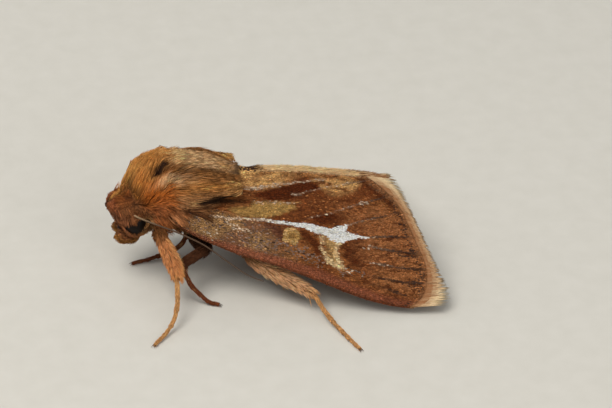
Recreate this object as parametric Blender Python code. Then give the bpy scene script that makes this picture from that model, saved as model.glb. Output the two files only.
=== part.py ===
"""Antler moth, Cerapteryx graminis, at rest with its wings folded like a roof over its back.

Every part of the moth that has a name is one closed solid. They are shaped in millimetres, with the
head towards -Y, the moth's left side at +X and the floor at Z = 0, and are turned to metres at the end,
where the origin goes to the bottom centre of the whole moth.
"""

import math

import bmesh
import bpy
from mathutils import Matrix, Vector

MM = 0.001
GAP = 0.05  # slit between two parts that touch in life
SMALL_STEP = 0.01  # distance over which the direction of a bar is taken
SIDES_BODY = 22
SIDES_EYE = 14
SIDES_LEG = 8
SIDES_ANTENNA = 6
RINGS = {  # cross-sections along each kind of part
    "head": 11,
    "collar": 9,
    "thorax": 12,
    "tegula": 9,
    "abdomen": 14,
    "eye": 9,
    "palp": 8,
    "antenna": 24,
    "femur": 5,
    "tibia": 7,
    "tarsus": 12,
}

# Body outlines out to the tips of the hair: (y, half width, top, bottom).
HEAD = (
    (-3.88, 0.22, 4.30, 4.00),
    (-3.73, 0.56, 4.46, 3.58),
    (-3.44, 0.90, 4.62, 3.02),
    (-3.00, 1.10, 4.78, 2.56),
    (-2.50, 1.16, 4.84, 2.38),
    (-1.95, 1.12, 4.78, 2.44),
    (-1.45, 0.95, 4.50, 2.60),
)
COLLAR = (
    (-2.92, 0.50, 5.50, 4.40),
    (-2.72, 1.02, 5.94, 3.85),
    (-2.30, 1.42, 6.32, 3.34),
    (-1.70, 1.68, 6.64, 2.92),
    (-1.10, 1.92, 6.84, 2.74),
)
THORAX = (
    (-1.10, 1.80, 6.55, 2.72),
    (-0.50, 1.92, 6.58, 2.48),
    (0.20, 2.00, 6.46, 2.36),
    (1.00, 2.02, 6.26, 2.30),
    (1.60, 1.88, 5.98, 2.34),
    (2.10, 1.52, 5.74, 2.50),
    (2.50, 0.92, 5.54, 3.00),
    (2.74, 0.40, 5.42, 4.60),
)
ABDOMEN = (
    (1.60, 1.35, 4.60, 2.20),
    (2.60, 1.64, 4.56, 1.92),
    (4.20, 1.72, 4.36, 1.62),
    (5.80, 1.60, 4.08, 1.42),
    (7.30, 1.32, 3.74, 1.34),
    (8.50, 0.96, 3.36, 1.40),
    (9.40, 0.58, 3.00, 1.56),
    (9.90, 0.26, 2.70, 1.80),
)

EYE_CENTRE = Vector((0.76, -2.58, 3.30))
EYE_RADII = Vector((0.60, 0.64, 0.64))
EYE_END = 80.0  # latitude of the small flats at the eye's two ends, in degrees

# Tegula, the shoulder pad of long hairs: (y, lower angle, upper angle, outer swell) round the thorax.
TEGULA = (
    (-1.04, 8.0, 34.0, 0.02),
    (-0.66, 1.0, 50.0, 0.20),
    (0.00, 12.0, 58.0, 0.26),
    (0.80, 20.0, 60.0, 0.30),
    (1.60, 21.0, 58.0, 0.34),
    (2.20, 15.0, 53.0, 0.36),
    (2.70, 10.0, 45.0, 0.32),
)
TEGULA_DEPTH = 0.56
TEGULA_STEPS = 8  # points across it, on its outer and on its inner face
TEGULA_SAG = 0.28  # fall of the pad's middle per millimetre behind TEGULA_SAG_Y
TEGULA_SAG_Y = 1.6

# Roof of the folded wings: ridge height and costal edge, the costa as (y, half width, height).
RIDGE = (
    (-1.6, 5.62),
    (1.0, 5.54),
    (2.7, 5.42),
    (4.5, 5.24),
    (6.2, 4.98),
    (8.2, 4.62),
    (9.4, 4.36),
    (12.2, 3.70),
)
COSTA = (
    (-1.6, 1.42, 4.44),
    (-0.2, 2.35, 3.70),
    (1.0, 2.96, 3.24),
    (2.6, 3.70, 2.66),
    (4.4, 4.44, 2.06),
    (6.3, 5.15, 1.42),
    (8.1, 5.74, 0.88),
    (9.6, 6.14, 0.60),
    (11.0, 6.40, 0.52),
    (12.2, 6.46, 0.54),
)
ROOF_CURL = 0.20  # share of the roof's fall that bends down towards the costa
WING_OVER = 0.18  # solid above the wing's own surface, for its scales
WING_UNDER = 0.46
RIDGE_CLEARANCE = 0.03
TORNUS_Y = 10.44
TERMEN_SLANT = 1.70  # how much further back the termen lies at the costa than at the tornus
RIGHT_WING_SHORT = 0.60  # how much less far back the right forewing is laid than the left
CORNER = 0.12  # share of the wing's width over which its corners are rounded
APEX_ROUND = 0.56
APEX_POWER = 2.5
TORNUS_ROUND = 0.18
FOREWING_COLUMNS = 11
FOREWING_ROWS = 18
FOREWING_ROOT = -0.9
HINDWING_TOP = WING_UNDER + GAP
HINDWING_THICK = 0.54
HINDWING_ROOT = 2.2
HINDWING_INNER = 0.30
HINDWING_OUTER = 0.80
HINDWING_NARROWING = 0.22  # how much nearer the ridge its outer edge is at the root
HINDWING_TAIL_INNER = 9.8
HINDWING_TAIL_OUTER = 10.7
HINDWING_COLUMNS = 7
HINDWING_ROWS = 11

ANTENNA_RADIUS = 0.26
ANTENNA_LEFT = (
    (0.60, -2.82, 4.26),
    (1.02, -2.94, 4.32),
    (1.46, -2.66, 4.06),
    (2.02, -1.89, 3.94),
    (2.62, -0.86, 3.71),
    (2.92, -0.22, 3.47),
    (3.26, 0.51, 3.13),
    (3.72, 1.48, 2.44),
    (4.12, 2.40, 1.82),
    (4.42, 3.14, 1.56),
)
PALP_LEFT = ((0.42, -2.36, 2.62), (0.47, -2.70, 2.36), (0.48, -3.10, 2.32), (0.44, -3.48, 2.58))
PALP_RADII = (0.30, 0.36, 0.34, 0.27)

# Legs: joints from the body to the tip of the foot, with the tarsus bent through a few points.
FEMUR_RADIUS = 0.36
TARSUS_RADIUS = 0.26
TIBIA_RADIUS = {"front": 0.46, "mid": 0.34, "hind": 0.46}
SPINDLE_START = 0.25  # the part of a sine wave that gives the tibia's outline
SPINDLE_END = 0.97
FOOT_FLAT = 0.05  # how far the round tarsus is cut off where it stands
FOOT_Z = TARSUS_RADIUS - FOOT_FLAT
LEGS = {
    "front_left": {
        "femur": ((0.70, -1.30, 2.95), (1.25, -1.50, 2.80), (1.80, -1.50, 3.10)),
        "tibia": ((1.80, -1.50, 3.10), (2.72, -1.28, 2.50), (3.60, -1.03, 1.81)),
        "tarsus": (
            (3.60, -1.03, 1.81),
            (4.70, -1.13, 1.02),
            (5.50, -1.42, 0.54),
            (6.04, -1.86, FOOT_Z + 0.04),
            (6.90, -2.58, FOOT_Z),
        ),
    },
    "mid_left": {
        "femur": ((0.85, 0.00, 2.60), (1.35, 0.36, 2.30), (1.95, 0.66, 2.22)),
        "tibia": ((1.95, 0.66, 2.22), (2.42, 0.10, 2.12), (2.70, -0.52, 1.84)),
        "tarsus": (
            (2.70, -0.52, 1.84),
            (3.18, -0.28, 1.04),
            (3.46, 0.14, 0.56),
            (3.66, 0.56, FOOT_Z + 0.03),
            (3.88, 1.04, FOOT_Z),
        ),
    },
    "hind_left": {
        "femur": ((0.95, 1.90, 2.70), (1.70, 2.20, 2.42), (2.56, 2.62, 2.18)),
        "tibia": ((2.56, 2.62, 2.18), (3.34, 3.30, 1.76), (4.90, 5.42, 0.91)),
        "tarsus": (
            (4.90, 5.42, 0.91),
            (5.70, 5.80, 0.54),
            (6.70, 6.20, 0.32),
            (8.10, 6.74, FOOT_Z + 0.01),
            (8.96, 7.06, FOOT_Z),
        ),
    },
    "front_right": {
        "femur": ((-0.80, -1.50, 2.65), (-1.40, -1.40, 2.44), (-1.98, -1.16, 2.38)),
        "tibia": ((-1.98, -1.16, 2.38), (-2.16, -0.40, 1.94), (-1.92, 0.12, 1.30)),
        "tarsus": (
            (-1.92, 0.12, 1.30),
            (-1.58, 0.20, 0.74),
            (-1.28, -0.40, 0.36),
            (-0.90, -1.60, FOOT_Z + 0.01),
            (-0.63, -2.62, FOOT_Z),
        ),
    },
    "mid_right": {
        "femur": ((-0.85, 0.20, 2.60), (-1.50, 0.64, 2.34), (-2.20, 1.00, 2.36)),
        "tibia": ((-2.20, 1.00, 2.36), (-2.90, 0.82, 2.10), (-3.42, 0.56, 1.50)),
        "tarsus": (
            (-3.42, 0.56, 1.50),
            (-3.90, 0.86, 0.86),
            (-4.34, 1.30, FOOT_Z + 0.08),
            (-4.96, 2.04, FOOT_Z),
        ),
    },
    "hind_right": {
        "femur": ((-0.95, 2.05, 2.70), (-1.65, 1.98, 2.38), (-2.36, 1.98, 2.36)),
        "tibia": ((-2.36, 1.98, 2.36), (-3.14, 3.10, 1.98), (-4.70, 5.60, 0.90)),
        "tarsus": (
            (-4.70, 5.60, 0.90),
            (-5.40, 6.18, 0.54),
            (-6.10, 6.90, FOOT_Z + 0.05),
            (-7.10, 7.98, FOOT_Z),
        ),
    },
}

COLOURS = {
    "fur": ((0.42, 0.17, 0.05), 0.9),
    "belly": ((0.33, 0.15, 0.06), 0.9),
    "wing": ((0.25, 0.07, 0.025), 0.85),
    "hindwing": ((0.30, 0.24, 0.18), 0.85),
    "eye": ((0.02, 0.012, 0.01), 0.2),
    "antenna": ((0.40, 0.24, 0.14), 0.7),
    "palp": ((0.50, 0.26, 0.10), 0.9),
    "leg": ((0.62, 0.33, 0.15), 0.85),
}


def spline(keys, x):
    """The value at x on a smooth curve through keys, each (x, value, value, ...)."""
    last = len(keys) - 2
    i = min(max(sum(key[0] <= x for key in keys) - 1, 0), last)
    before, here, there, after = (keys[min(max(j, 0), last + 1)] for j in range(i - 1, i + 3))
    span = there[0] - here[0]
    u = min(max((x - here[0]) / span, 0.0), 1.0)
    values = []
    for k in range(1, len(here)):
        slope_here = (there[k] - before[k]) / (there[0] - before[0]) * span
        slope_there = (after[k] - here[k]) / (after[0] - here[0]) * span
        values.append(
            (2 * u**3 - 3 * u**2 + 1) * here[k]
            + (u**3 - 2 * u**2 + u) * slope_here
            + (3 * u**2 - 2 * u**3) * there[k]
            + (u**3 - u**2) * slope_there
        )
    return values[0] if len(values) == 1 else values


def keyed_by_length(points, radii=None):
    """Path points as (distance, x, y, z) keys, or with a radius as a fifth value."""
    keys = []
    distance = 0.0
    for i, point in enumerate(points):
        if i:
            distance += (Vector(point) - Vector(points[i - 1])).length
        keys.append((distance, *point) + ((radii[i],) if radii else ()))
    return keys


def spread(start, end, count):
    return [start + (end - start) * i / (count - 1) for i in range(count)]


def make_object(name, vertices, faces):
    """A closed mesh object with its faces pointing out."""
    mesh = bpy.data.meshes.new(name)
    shape = bmesh.new()
    made = [shape.verts.new(vertex) for vertex in vertices]
    for face in faces:
        shape.faces.new([made[i] for i in face])
    bmesh.ops.recalc_face_normals(shape, faces=shape.faces)
    shape.to_mesh(mesh)
    shape.free()
    obj = bpy.data.objects.new(name, mesh)
    bpy.context.scene.collection.objects.link(obj)
    return obj


def loft(name, rings):
    """A solid through rings of equally many points, with a flat end at the first and the last."""
    sides = len(rings[0])
    vertices = [point for ring in rings for point in ring]
    faces = [tuple(range(sides)), tuple(range(len(vertices) - sides, len(vertices)))]
    for j in range(len(rings) - 1):
        for i in range(sides):
            k = (i + 1) % sides
            faces.append((j * sides + i, j * sides + k, (j + 1) * sides + k, (j + 1) * sides + i))
    return make_object(name, vertices, faces)


def body(name, sections, kind, grow=0.0):
    """A body part through elliptic sections, made larger all round by grow."""
    outline = []
    for y in spread(sections[0][0], sections[-1][0], RINGS[kind]):
        half_width, top, bottom = spline(sections, y)
        middle = (top + bottom) / 2
        half_height = (top - bottom) / 2
        at = y + grow * (2 * (y - sections[0][0]) / (sections[-1][0] - sections[0][0]) - 1)
        ring = []
        for i in range(SIDES_BODY):
            turn = 2 * math.pi * i / SIDES_BODY
            x = (half_width + grow) * math.cos(turn)
            z = middle + (half_height + grow) * math.sin(turn)
            ring.append((x, at, z))
        outline.append(ring)
    return loft(name, outline)


def tube(name, keys, start, end, sides, radius=None):
    """A bar along keys with one of its sides level below, its radius given or the keys' last value.

    No point of it goes under the floor, so a bar that comes down to the floor ends in a flat.
    """
    outline = []
    for distance in spread(start, end, RINGS[name.split("_")[0]]):
        x, y, z, *found = spline(keys, distance)
        ahead = Vector(spline(keys, distance + SMALL_STEP)[:3])
        behind = Vector(spline(keys, distance - SMALL_STEP)[:3])
        along = (ahead - behind).normalized()
        side = along.cross(Vector((0, 0, 1))).normalized()
        up = side.cross(along)
        size = found[0] if found else radius(distance)
        ring = []
        for i in range(sides):
            turn = 2 * math.pi * (i + 0.5) / sides
            point = Vector((x, y, z)) + size * (math.cos(turn) * side + math.sin(turn) * up)
            point.z = max(point.z, 0.0)
            ring.append(point)
        outline.append(ring)
    return loft(name, outline)


def ball(name, centre, radii, grow=0.0):
    """An eye: a ball with its axis across the head."""
    rings = []
    for lift in spread(math.radians(-EYE_END), math.radians(EYE_END), RINGS["eye"]):
        ring = []
        for i in range(SIDES_EYE):
            turn = 2 * math.pi * i / SIDES_EYE
            around = math.cos(lift)
            unit = Vector((math.sin(lift), around * math.cos(turn), around * math.sin(turn)))
            ring.append(centre + Vector(u * (r + grow) for u, r in zip(unit, radii)))
        rings.append(ring)
    return loft(name, rings)


def tegula(name, side, grow=0.0):
    """A pad wrapped round the upper flank of the thorax, from its skin out to the hair tips."""
    outline = []
    for y in spread(TEGULA[0][0], TEGULA[-1][0], RINGS["tegula"]):
        low, high, swell = spline(TEGULA, y)
        half_width, top, bottom = spline(THORAX, min(y, TEGULA_SAG_Y))
        middle = (top + bottom) / 2 - TEGULA_SAG * max(y - TEGULA_SAG_Y, 0.0)
        half_height = (top - bottom) / 2
        at = y + grow * (2 * (y - TEGULA[0][0]) / (TEGULA[-1][0] - TEGULA[0][0]) - 1)
        margin = math.degrees(grow / half_width)
        arc = [math.radians(turn) for turn in spread(low - margin, high + margin, TEGULA_STEPS)]
        outer = [(turn, swell + grow) for turn in arc]
        inner = [(turn, swell - TEGULA_DEPTH - grow) for turn in reversed(arc)]
        outline.append(
            [
                (
                    side * (half_width + out) * math.cos(turn),
                    at,
                    middle + (half_height + out) * math.sin(turn),
                )
                for turn, out in outer + inner
            ]
        )
    return loft(name, outline)


def roof(y, across):
    """The point of the left wing's surface at y, from the ridge (across 0) to the costa (across 1)."""
    half_width, low = spline(COSTA, y)
    high = spline(RIDGE, y)
    fall = (1 - ROOF_CURL) * across + ROOF_CURL * across**2
    x = RIDGE_CLEARANCE + (half_width - RIDGE_CLEARANCE) * across
    return Vector((x, y, high - (high - low) * fall))


def termen(across):
    """How far back the forewing reaches, with a rounded tornus and apex."""
    apex = max(across - 1 + CORNER, 0.0) / CORNER
    tornus = max(CORNER - across, 0.0) / CORNER
    return TORNUS_Y + TERMEN_SLANT * across - APEX_ROUND * apex**APEX_POWER - TORNUS_ROUND * tornus**2


def sheet(name, side, columns, over, under):
    """A wing: a thick sheet over columns of surface points, from over above them to under below."""
    rows = len(columns[0])
    vertices = []
    for lift in (over, -under):
        for column in columns:
            vertices += [(side * point.x, point.y, point.z + lift) for point in column]
    half = len(vertices) // 2
    faces = []
    for i in range(len(columns) - 1):
        for j in range(rows - 1):
            quad = (i * rows + j, i * rows + j + 1, (i + 1) * rows + j + 1, (i + 1) * rows + j)
            faces += [quad, tuple(half + k for k in quad)]
    border = [j for j in range(rows)]
    border += [i * rows + rows - 1 for i in range(1, len(columns))]
    border += [(len(columns) - 1) * rows + j for j in range(rows - 2, -1, -1)]
    border += [i * rows for i in range(len(columns) - 2, 0, -1)]
    for here, there in zip(border, border[1:] + border[:1]):
        faces.append((here, there, half + there, half + here))
    return make_object(name, vertices, faces)


def forewing(name, side):
    columns = []
    short = RIGHT_WING_SHORT if side < 0 else 0.0
    for across in spread(0.0, 1.0, FOREWING_COLUMNS):
        rows = spread(FOREWING_ROOT, termen(across) - short, FOREWING_ROWS)
        columns.append([roof(y, across) for y in rows])
    return sheet(name, side, columns, WING_OVER, WING_UNDER)


def hindwing(name, side):
    """A fan under the forewing, narrow at its root and rounded behind."""
    columns = []
    for share in spread(0.0, 1.0, HINDWING_COLUMNS):
        reach = (HINDWING_TAIL_OUTER - HINDWING_TAIL_INNER) * math.sin(share * math.pi / 2)
        column = []
        for back in spread(0.0, 1.0, HINDWING_ROWS):
            outer = HINDWING_OUTER - HINDWING_NARROWING * (1 - back) ** 2
            y = HINDWING_ROOT + (HINDWING_TAIL_INNER + reach - HINDWING_ROOT) * back
            column.append(roof(y, HINDWING_INNER + (outer - HINDWING_INNER) * share))
        columns.append(column)
    return sheet(name, side, columns, -HINDWING_TOP, HINDWING_TOP + HINDWING_THICK)


def cut(target, cutters):
    """Takes the cutters' shapes out of the target for good."""
    for cutter in cutters:
        modifier = target.modifiers.new("cut", "BOOLEAN")
        modifier.operation = "DIFFERENCE"
        modifier.object = cutter
    graph = bpy.context.evaluated_depsgraph_get()
    mesh = bpy.data.meshes.new_from_object(target.evaluated_get(graph))
    target.modifiers.clear()
    target.data = mesh


def make_material(name):
    colour, roughness = COLOURS[name]
    material = bpy.data.materials.new(name)
    material.use_nodes = True
    shader = material.node_tree.nodes["Principled BSDF"]
    shader.inputs["Base Color"].default_value = (*colour, 1.0)
    shader.inputs["Roughness"].default_value = roughness
    shader.inputs["Metallic"].default_value = 0.0
    return material


def make_trunk():
    """Head, collar, thorax, tegulae and abdomen, with the slits between them, and their cutters."""
    cutters = {
        "collar": body("cut_collar", COLLAR, "collar", GAP),
        "thorax": body("cut_thorax", THORAX, "thorax", GAP),
        "eye_left": ball("cut_eye_left", EYE_CENTRE, EYE_RADII, GAP),
        "eye_right": ball("cut_eye_right", EYE_CENTRE * Vector((-1, 1, 1)), EYE_RADII, GAP),
        "tegula_left": tegula("cut_tegula_left", 1, GAP),
        "tegula_right": tegula("cut_tegula_right", -1, GAP),
    }
    eyes = [cutters["eye_left"], cutters["eye_right"]]
    tegulae = [cutters["tegula_left"], cutters["tegula_right"]]
    cut(body("head", HEAD, "head"), [cutters["collar"], cutters["thorax"], *eyes])
    cut(body("collar", COLLAR, "collar"), [cutters["thorax"], *eyes])
    cut(body("thorax", THORAX, "thorax"), tegulae)
    cut(body("abdomen", ABDOMEN, "abdomen"), [cutters["thorax"]])
    for side, sign in (("left", 1), ("right", -1)):
        cut(tegula(f"tegula_{side}", sign), [cutters["collar"]])
    return cutters


def make_head_parts(cutters):
    mirrored = Matrix.Diagonal((-1, 1, 1))
    for side, matrix in (("left", Matrix.Identity(3)), ("right", mirrored)):
        ball(f"eye_{side}", matrix @ EYE_CENTRE, EYE_RADII)
        palp = keyed_by_length([matrix @ Vector(point) for point in PALP_LEFT], PALP_RADII)
        feeler = tube(f"palp_{side}", palp, 0.0, palp[-1][0], SIDES_LEG)
        cut(feeler, [cutters["head"], cutters["collar"]])
        antenna = keyed_by_length([matrix @ Vector(point) for point in ANTENNA_LEFT])
        feeler = tube(
            f"antenna_{side}", antenna, 0.0, antenna[-1][0], SIDES_ANTENNA, lambda _: ANTENNA_RADIUS
        )
        cut(feeler, [cutters["head"], cutters["collar"], cutters[f"eye_{side}"]])


def make_wings(cutters):
    for side, sign in (("left", 1), ("right", -1)):
        around = [cutters["thorax"], cutters[f"tegula_{side}"]]
        cut(forewing(f"forewing_{side}", sign), around)
        cut(hindwing(f"hindwing_{side}", sign), [*around, cutters["abdomen"]])


def make_leg(place, cutters):
    """Femur, tibia and tarsus of one leg, with thin cuts at its knee and ankle."""
    joints = LEGS[place]
    route = joints["femur"] + joints["tibia"][1:] + joints["tarsus"][1:]
    keys = keyed_by_length(route)
    knee = keys[len(joints["femur"]) - 1][0]
    ankle = keys[len(joints["femur"]) + len(joints["tibia"]) - 2][0]
    foot = keys[-1][0]
    widest = TIBIA_RADIUS[place.split("_")[0]]

    def radius(distance):
        if distance > ankle:
            return TARSUS_RADIUS
        if distance > knee:
            share = (distance - knee) / (ankle - knee)
            wave = math.sin(math.pi * (SPINDLE_START + (SPINDLE_END - SPINDLE_START) * share))
            return TARSUS_RADIUS + (widest - TARSUS_RADIUS) * wave
        return FEMUR_RADIUS

    femur = tube(f"femur_{place}", keys, 0.0, knee - GAP / 2, SIDES_LEG, radius)
    cut(femur, [cutters["thorax"], cutters["abdomen"], cutters["collar"], cutters["head"]])
    tibia = tube(f"tibia_{place}", keys, knee + GAP / 2, ankle - GAP / 2, SIDES_LEG, radius)
    cut(tibia, [cutters["thorax"], cutters["collar"]])
    tube(f"tarsus_{place}", keys, ankle + GAP / 2, foot, SIDES_LEG, radius)


def part_material(name):
    """The material of a part, told by the first word of its name."""
    kinds = {
        "head": "fur",
        "collar": "fur",
        "thorax": "fur",
        "tegula": "fur",
        "abdomen": "belly",
        "eye": "eye",
        "antenna": "antenna",
        "palp": "palp",
        "forewing": "wing",
        "hindwing": "hindwing",
        "femur": "leg",
        "tibia": "leg",
        "tarsus": "leg",
    }
    return kinds[name.split("_")[0]]


def clear_scene():
    for obj in list(bpy.data.objects):
        bpy.data.objects.remove(obj, do_unlink=True)


def set_in_metres(parts):
    """Moves the bottom centre of the moth to the origin and turns millimetres to metres."""
    corners = [vertex.co for part in parts for vertex in part.data.vertices]
    low = Vector(min(corner[i] for corner in corners) for i in range(3))
    high = Vector(max(corner[i] for corner in corners) for i in range(3))
    foot = Vector(((low.x + high.x) / 2, (low.y + high.y) / 2, low.z))
    moth = bpy.data.objects.new("antler_moth", None)
    bpy.context.scene.collection.objects.link(moth)
    materials = {name: make_material(name) for name in COLOURS}
    for part in parts:
        part.data.transform(Matrix.Diagonal((MM, MM, MM, 1)) @ Matrix.Translation(-foot))
        part.data.materials.clear()
        part.data.materials.append(materials[part_material(part.name)])
        part.data.shade_smooth()
        part.data.set_sharp_from_angle(angle=math.radians(40))
        part.parent = moth


def main():
    clear_scene()
    cutters = make_trunk()
    cutters["head"] = body("cut_head", HEAD, "head", GAP)
    cutters["abdomen"] = body("cut_abdomen", ABDOMEN, "abdomen", GAP)
    make_head_parts(cutters)
    make_wings(cutters)
    for place in LEGS:
        make_leg(place, cutters)
    for cutter in cutters.values():
        bpy.data.objects.remove(cutter)
    set_in_metres(list(bpy.data.objects))


main()
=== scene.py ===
"""The looks of the antler moth at rest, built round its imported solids.

Shapes are made in millimetres in the part's own drawing frame: head towards -Y, the moth's left side
at +X, the floor at Z = 0. in_frame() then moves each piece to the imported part's frame, in metres.
"""

import math

import bpy
import numpy as np
from mathutils import Matrix, Vector


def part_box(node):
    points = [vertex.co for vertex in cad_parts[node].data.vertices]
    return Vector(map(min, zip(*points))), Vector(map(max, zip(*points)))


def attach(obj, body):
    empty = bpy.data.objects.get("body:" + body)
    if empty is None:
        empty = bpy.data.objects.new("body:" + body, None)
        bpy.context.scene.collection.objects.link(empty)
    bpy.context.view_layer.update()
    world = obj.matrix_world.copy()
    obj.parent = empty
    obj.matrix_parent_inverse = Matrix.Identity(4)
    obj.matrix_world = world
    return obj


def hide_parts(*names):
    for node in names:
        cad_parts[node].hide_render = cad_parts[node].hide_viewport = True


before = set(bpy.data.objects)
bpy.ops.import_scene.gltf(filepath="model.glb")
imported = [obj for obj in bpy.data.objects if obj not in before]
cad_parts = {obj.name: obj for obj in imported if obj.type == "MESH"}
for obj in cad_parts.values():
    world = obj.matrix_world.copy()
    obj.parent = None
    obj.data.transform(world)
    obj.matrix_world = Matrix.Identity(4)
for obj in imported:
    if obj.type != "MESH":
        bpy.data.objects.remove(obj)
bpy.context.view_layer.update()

MM = 0.001
TAU = 2 * math.pi

# Camera and light.
CAMERA_AZIMUTH = 80.0
CAMERA_ELEVATION = 31.0
CAMERA_DISTANCE = 190.0
CAMERA_TARGET = (1.5, 5.73, 3.93)
CAMERA_LENS = 229.1
SENSOR_WIDTH = 36.0
LIGHTS = (  # name, azimuth, elevation, distance, size, power, colour
    ("key", 35, 62, 0.30, 0.20, 0.62, (1.0, 0.97, 0.92)),
    ("fill", 110, 34, 0.35, 0.30, 0.34, (1.0, 0.98, 0.95)),
    ("back", -60, 45, 0.35, 0.30, 0.16, (1.0, 0.99, 0.97)),
)

# Body outlines out to the tips of the hair: (y, half width, top, bottom).
HEAD = (
    (-3.88, 0.22, 4.30, 4.00), (-3.73, 0.56, 4.46, 3.58), (-3.44, 0.90, 4.62, 3.02),
    (-3.00, 1.10, 4.78, 2.56), (-2.50, 1.16, 4.84, 2.38), (-1.95, 1.12, 4.78, 2.44),
    (-1.45, 0.95, 4.50, 2.60),
)
COLLAR = (
    (-2.92, 0.50, 5.50, 4.40), (-2.72, 1.02, 5.94, 3.85), (-2.30, 1.42, 6.32, 3.34),
    (-1.70, 1.68, 6.64, 2.92), (-1.10, 1.92, 6.84, 2.74),
)
THORAX = (
    (-1.10, 1.80, 6.55, 2.72), (-0.50, 1.92, 6.58, 2.48), (0.20, 2.00, 6.46, 2.36),
    (1.00, 2.02, 6.26, 2.30), (1.60, 1.88, 5.98, 2.34), (2.10, 1.52, 5.74, 2.50),
    (2.50, 0.92, 5.54, 3.00), (2.74, 0.40, 5.42, 4.60),
)
ABDOMEN = (
    (1.60, 1.35, 4.60, 2.20), (2.60, 1.64, 4.56, 1.92), (4.20, 1.72, 4.36, 1.62),
    (5.80, 1.60, 4.08, 1.42), (7.30, 1.32, 3.74, 1.34), (8.50, 0.96, 3.36, 1.40),
    (9.40, 0.58, 3.00, 1.56), (9.90, 0.26, 2.70, 1.80),
)
FACE_COAT = 0.20  # how deep the hair is over the skin
BACK_COAT = 0.50
FLANK_COAT = 0.30
ABDOMEN_COAT = 0.24
FORM_SHARPNESS = 11.0  # how sharply the forms of the trunk meet, per millimetre

# Height of the line that the trunk's places are measured round: (y, height).
AXIS = (
    (-4.00, 4.02), (-3.50, 3.72), (-2.90, 3.72), (-2.30, 3.95), (-1.70, 4.30),
    (-1.10, 4.50), (0.00, 4.41), (1.00, 4.36), (2.00, 4.24), (2.74, 4.40),
)

# The bare hollow behind the collar on each side: place along and round the body, and its spread.
HOLLOW_Y = -1.42
HOLLOW_TURN = 61.0
HOLLOW_LENGTH = 0.33
HOLLOW_ANGLE = 6.5
HOLLOW_DEPTH = 0.36

# Tegula, the shoulder pad of long hairs: (y, lower angle, upper angle, outer swell) round the thorax.
TEGULA = (
    (-1.04, 8.0, 34.0, 0.02), (-0.66, 1.0, 50.0, 0.20), (0.00, 12.0, 58.0, 0.26),
    (0.80, 20.0, 60.0, 0.30), (1.60, 21.0, 58.0, 0.34), (2.20, 15.0, 53.0, 0.36),
    (2.70, 10.0, 45.0, 0.32),
)
TEGULA_SAG = 0.28  # fall of the pad's middle per millimetre behind TEGULA_SAG_Y
TEGULA_SAG_Y = 1.6
HAIR_END = 2.55  # how far back the hairs of the thorax and its pads reach

EYE_CENTRE = (0.76, -2.58, 3.30)
EYE_RADIUS = 0.60
EYE_FLATTENING = 0.94
EYE_OPENING_Y = -2.58
EYE_OPENING_TURN = -22.0
EYE_OPENING_LENGTH = 0.56
EYE_OPENING_ANGLE = 9.0

# Roof of the folded wings: ridge height and costal edge, the costa as (y, half width, height).
RIDGE = (
    (-1.6, 5.62), (1.0, 5.54), (2.7, 5.42), (4.5, 5.24), (6.2, 4.98), (8.2, 4.62),
    (9.4, 4.36), (12.2, 3.70),
)
COSTA = (
    (-1.6, 1.42, 4.44), (-0.2, 2.35, 3.70), (1.0, 2.96, 3.24), (2.6, 3.70, 2.66), (4.4, 4.44, 2.06),
    (6.3, 5.15, 1.42), (8.1, 5.74, 0.88), (9.6, 6.14, 0.60), (11.0, 6.40, 0.52), (12.2, 6.46, 0.54),
)
ROOF_CURL = 0.20
RIDGE_CLEARANCE = 0.03
TORNUS_Y = 10.44
TERMEN_SLANT = 1.70
RIGHT_WING_SHORT = 0.60  # how much less far back the right forewing is laid than the left
RIGHT_WING_FLATTER = 0.42  # how much lower the middle of its rear lies
APEX_ROUND = 0.56
TORNUS_ROUND = 0.18
CORNER = 0.12  # how far a corner's rounding reaches, as a share of the wing's width
FOREWING_ROOT = -0.9
MEMBRANE = 0.03
SCALE_SHOWN = 0.011  # how far behind its root a scale is seen, as a share of the wing's length
COSTA_ROLL = (0.28, 0.18)  # how far the front edge rolls down, near its root and before the tip
FRINGE_TUFTS = 110
FRINGE_ROWS = (  # scales, their length as a share of the fringe, height at the root, and paleness
    (600, 0.46, 0.045, 0.1), (600, 0.74, 0.03, 0.5), (700, 1.0, 0.015, 0.95),
)
HINDWING_DROP = 0.62
HINDWING_ROOT = 2.2
HINDWING_END = 9.8
HINDWING_INNER = 0.30  # its edges, as shares of the way from the ridge to the costa
HINDWING_OUTER = 0.80
HINDWING_PLEATS = 5

ANTENNA_LEFT = (
    (0.55, -2.74, 3.92), (0.82, -2.78, 3.98), (1.14, -2.62, 3.90), (2.02, -1.89, 3.94),
    (2.62, -0.86, 3.71), (2.92, -0.22, 3.47), (3.26, 0.51, 3.13), (3.72, 1.48, 2.44),
    (4.12, 2.40, 1.82), (4.42, 3.14, 1.56),
)
PALP_LEFT = ((0.42, -2.36, 2.62), (0.47, -2.70, 2.36), (0.48, -3.10, 2.32), (0.44, -3.48, 2.58))
PALP_AT = (0, 0.5, 1.0, 1.4)  # distances along a palp, and there the radius of its skin and hair roots
PALP_SKIN = (0.16, 0.19, 0.15, 0.07)
PALP_HAIR_ROOT = (0.15, 0.17, 0.12, 0.06)

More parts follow.
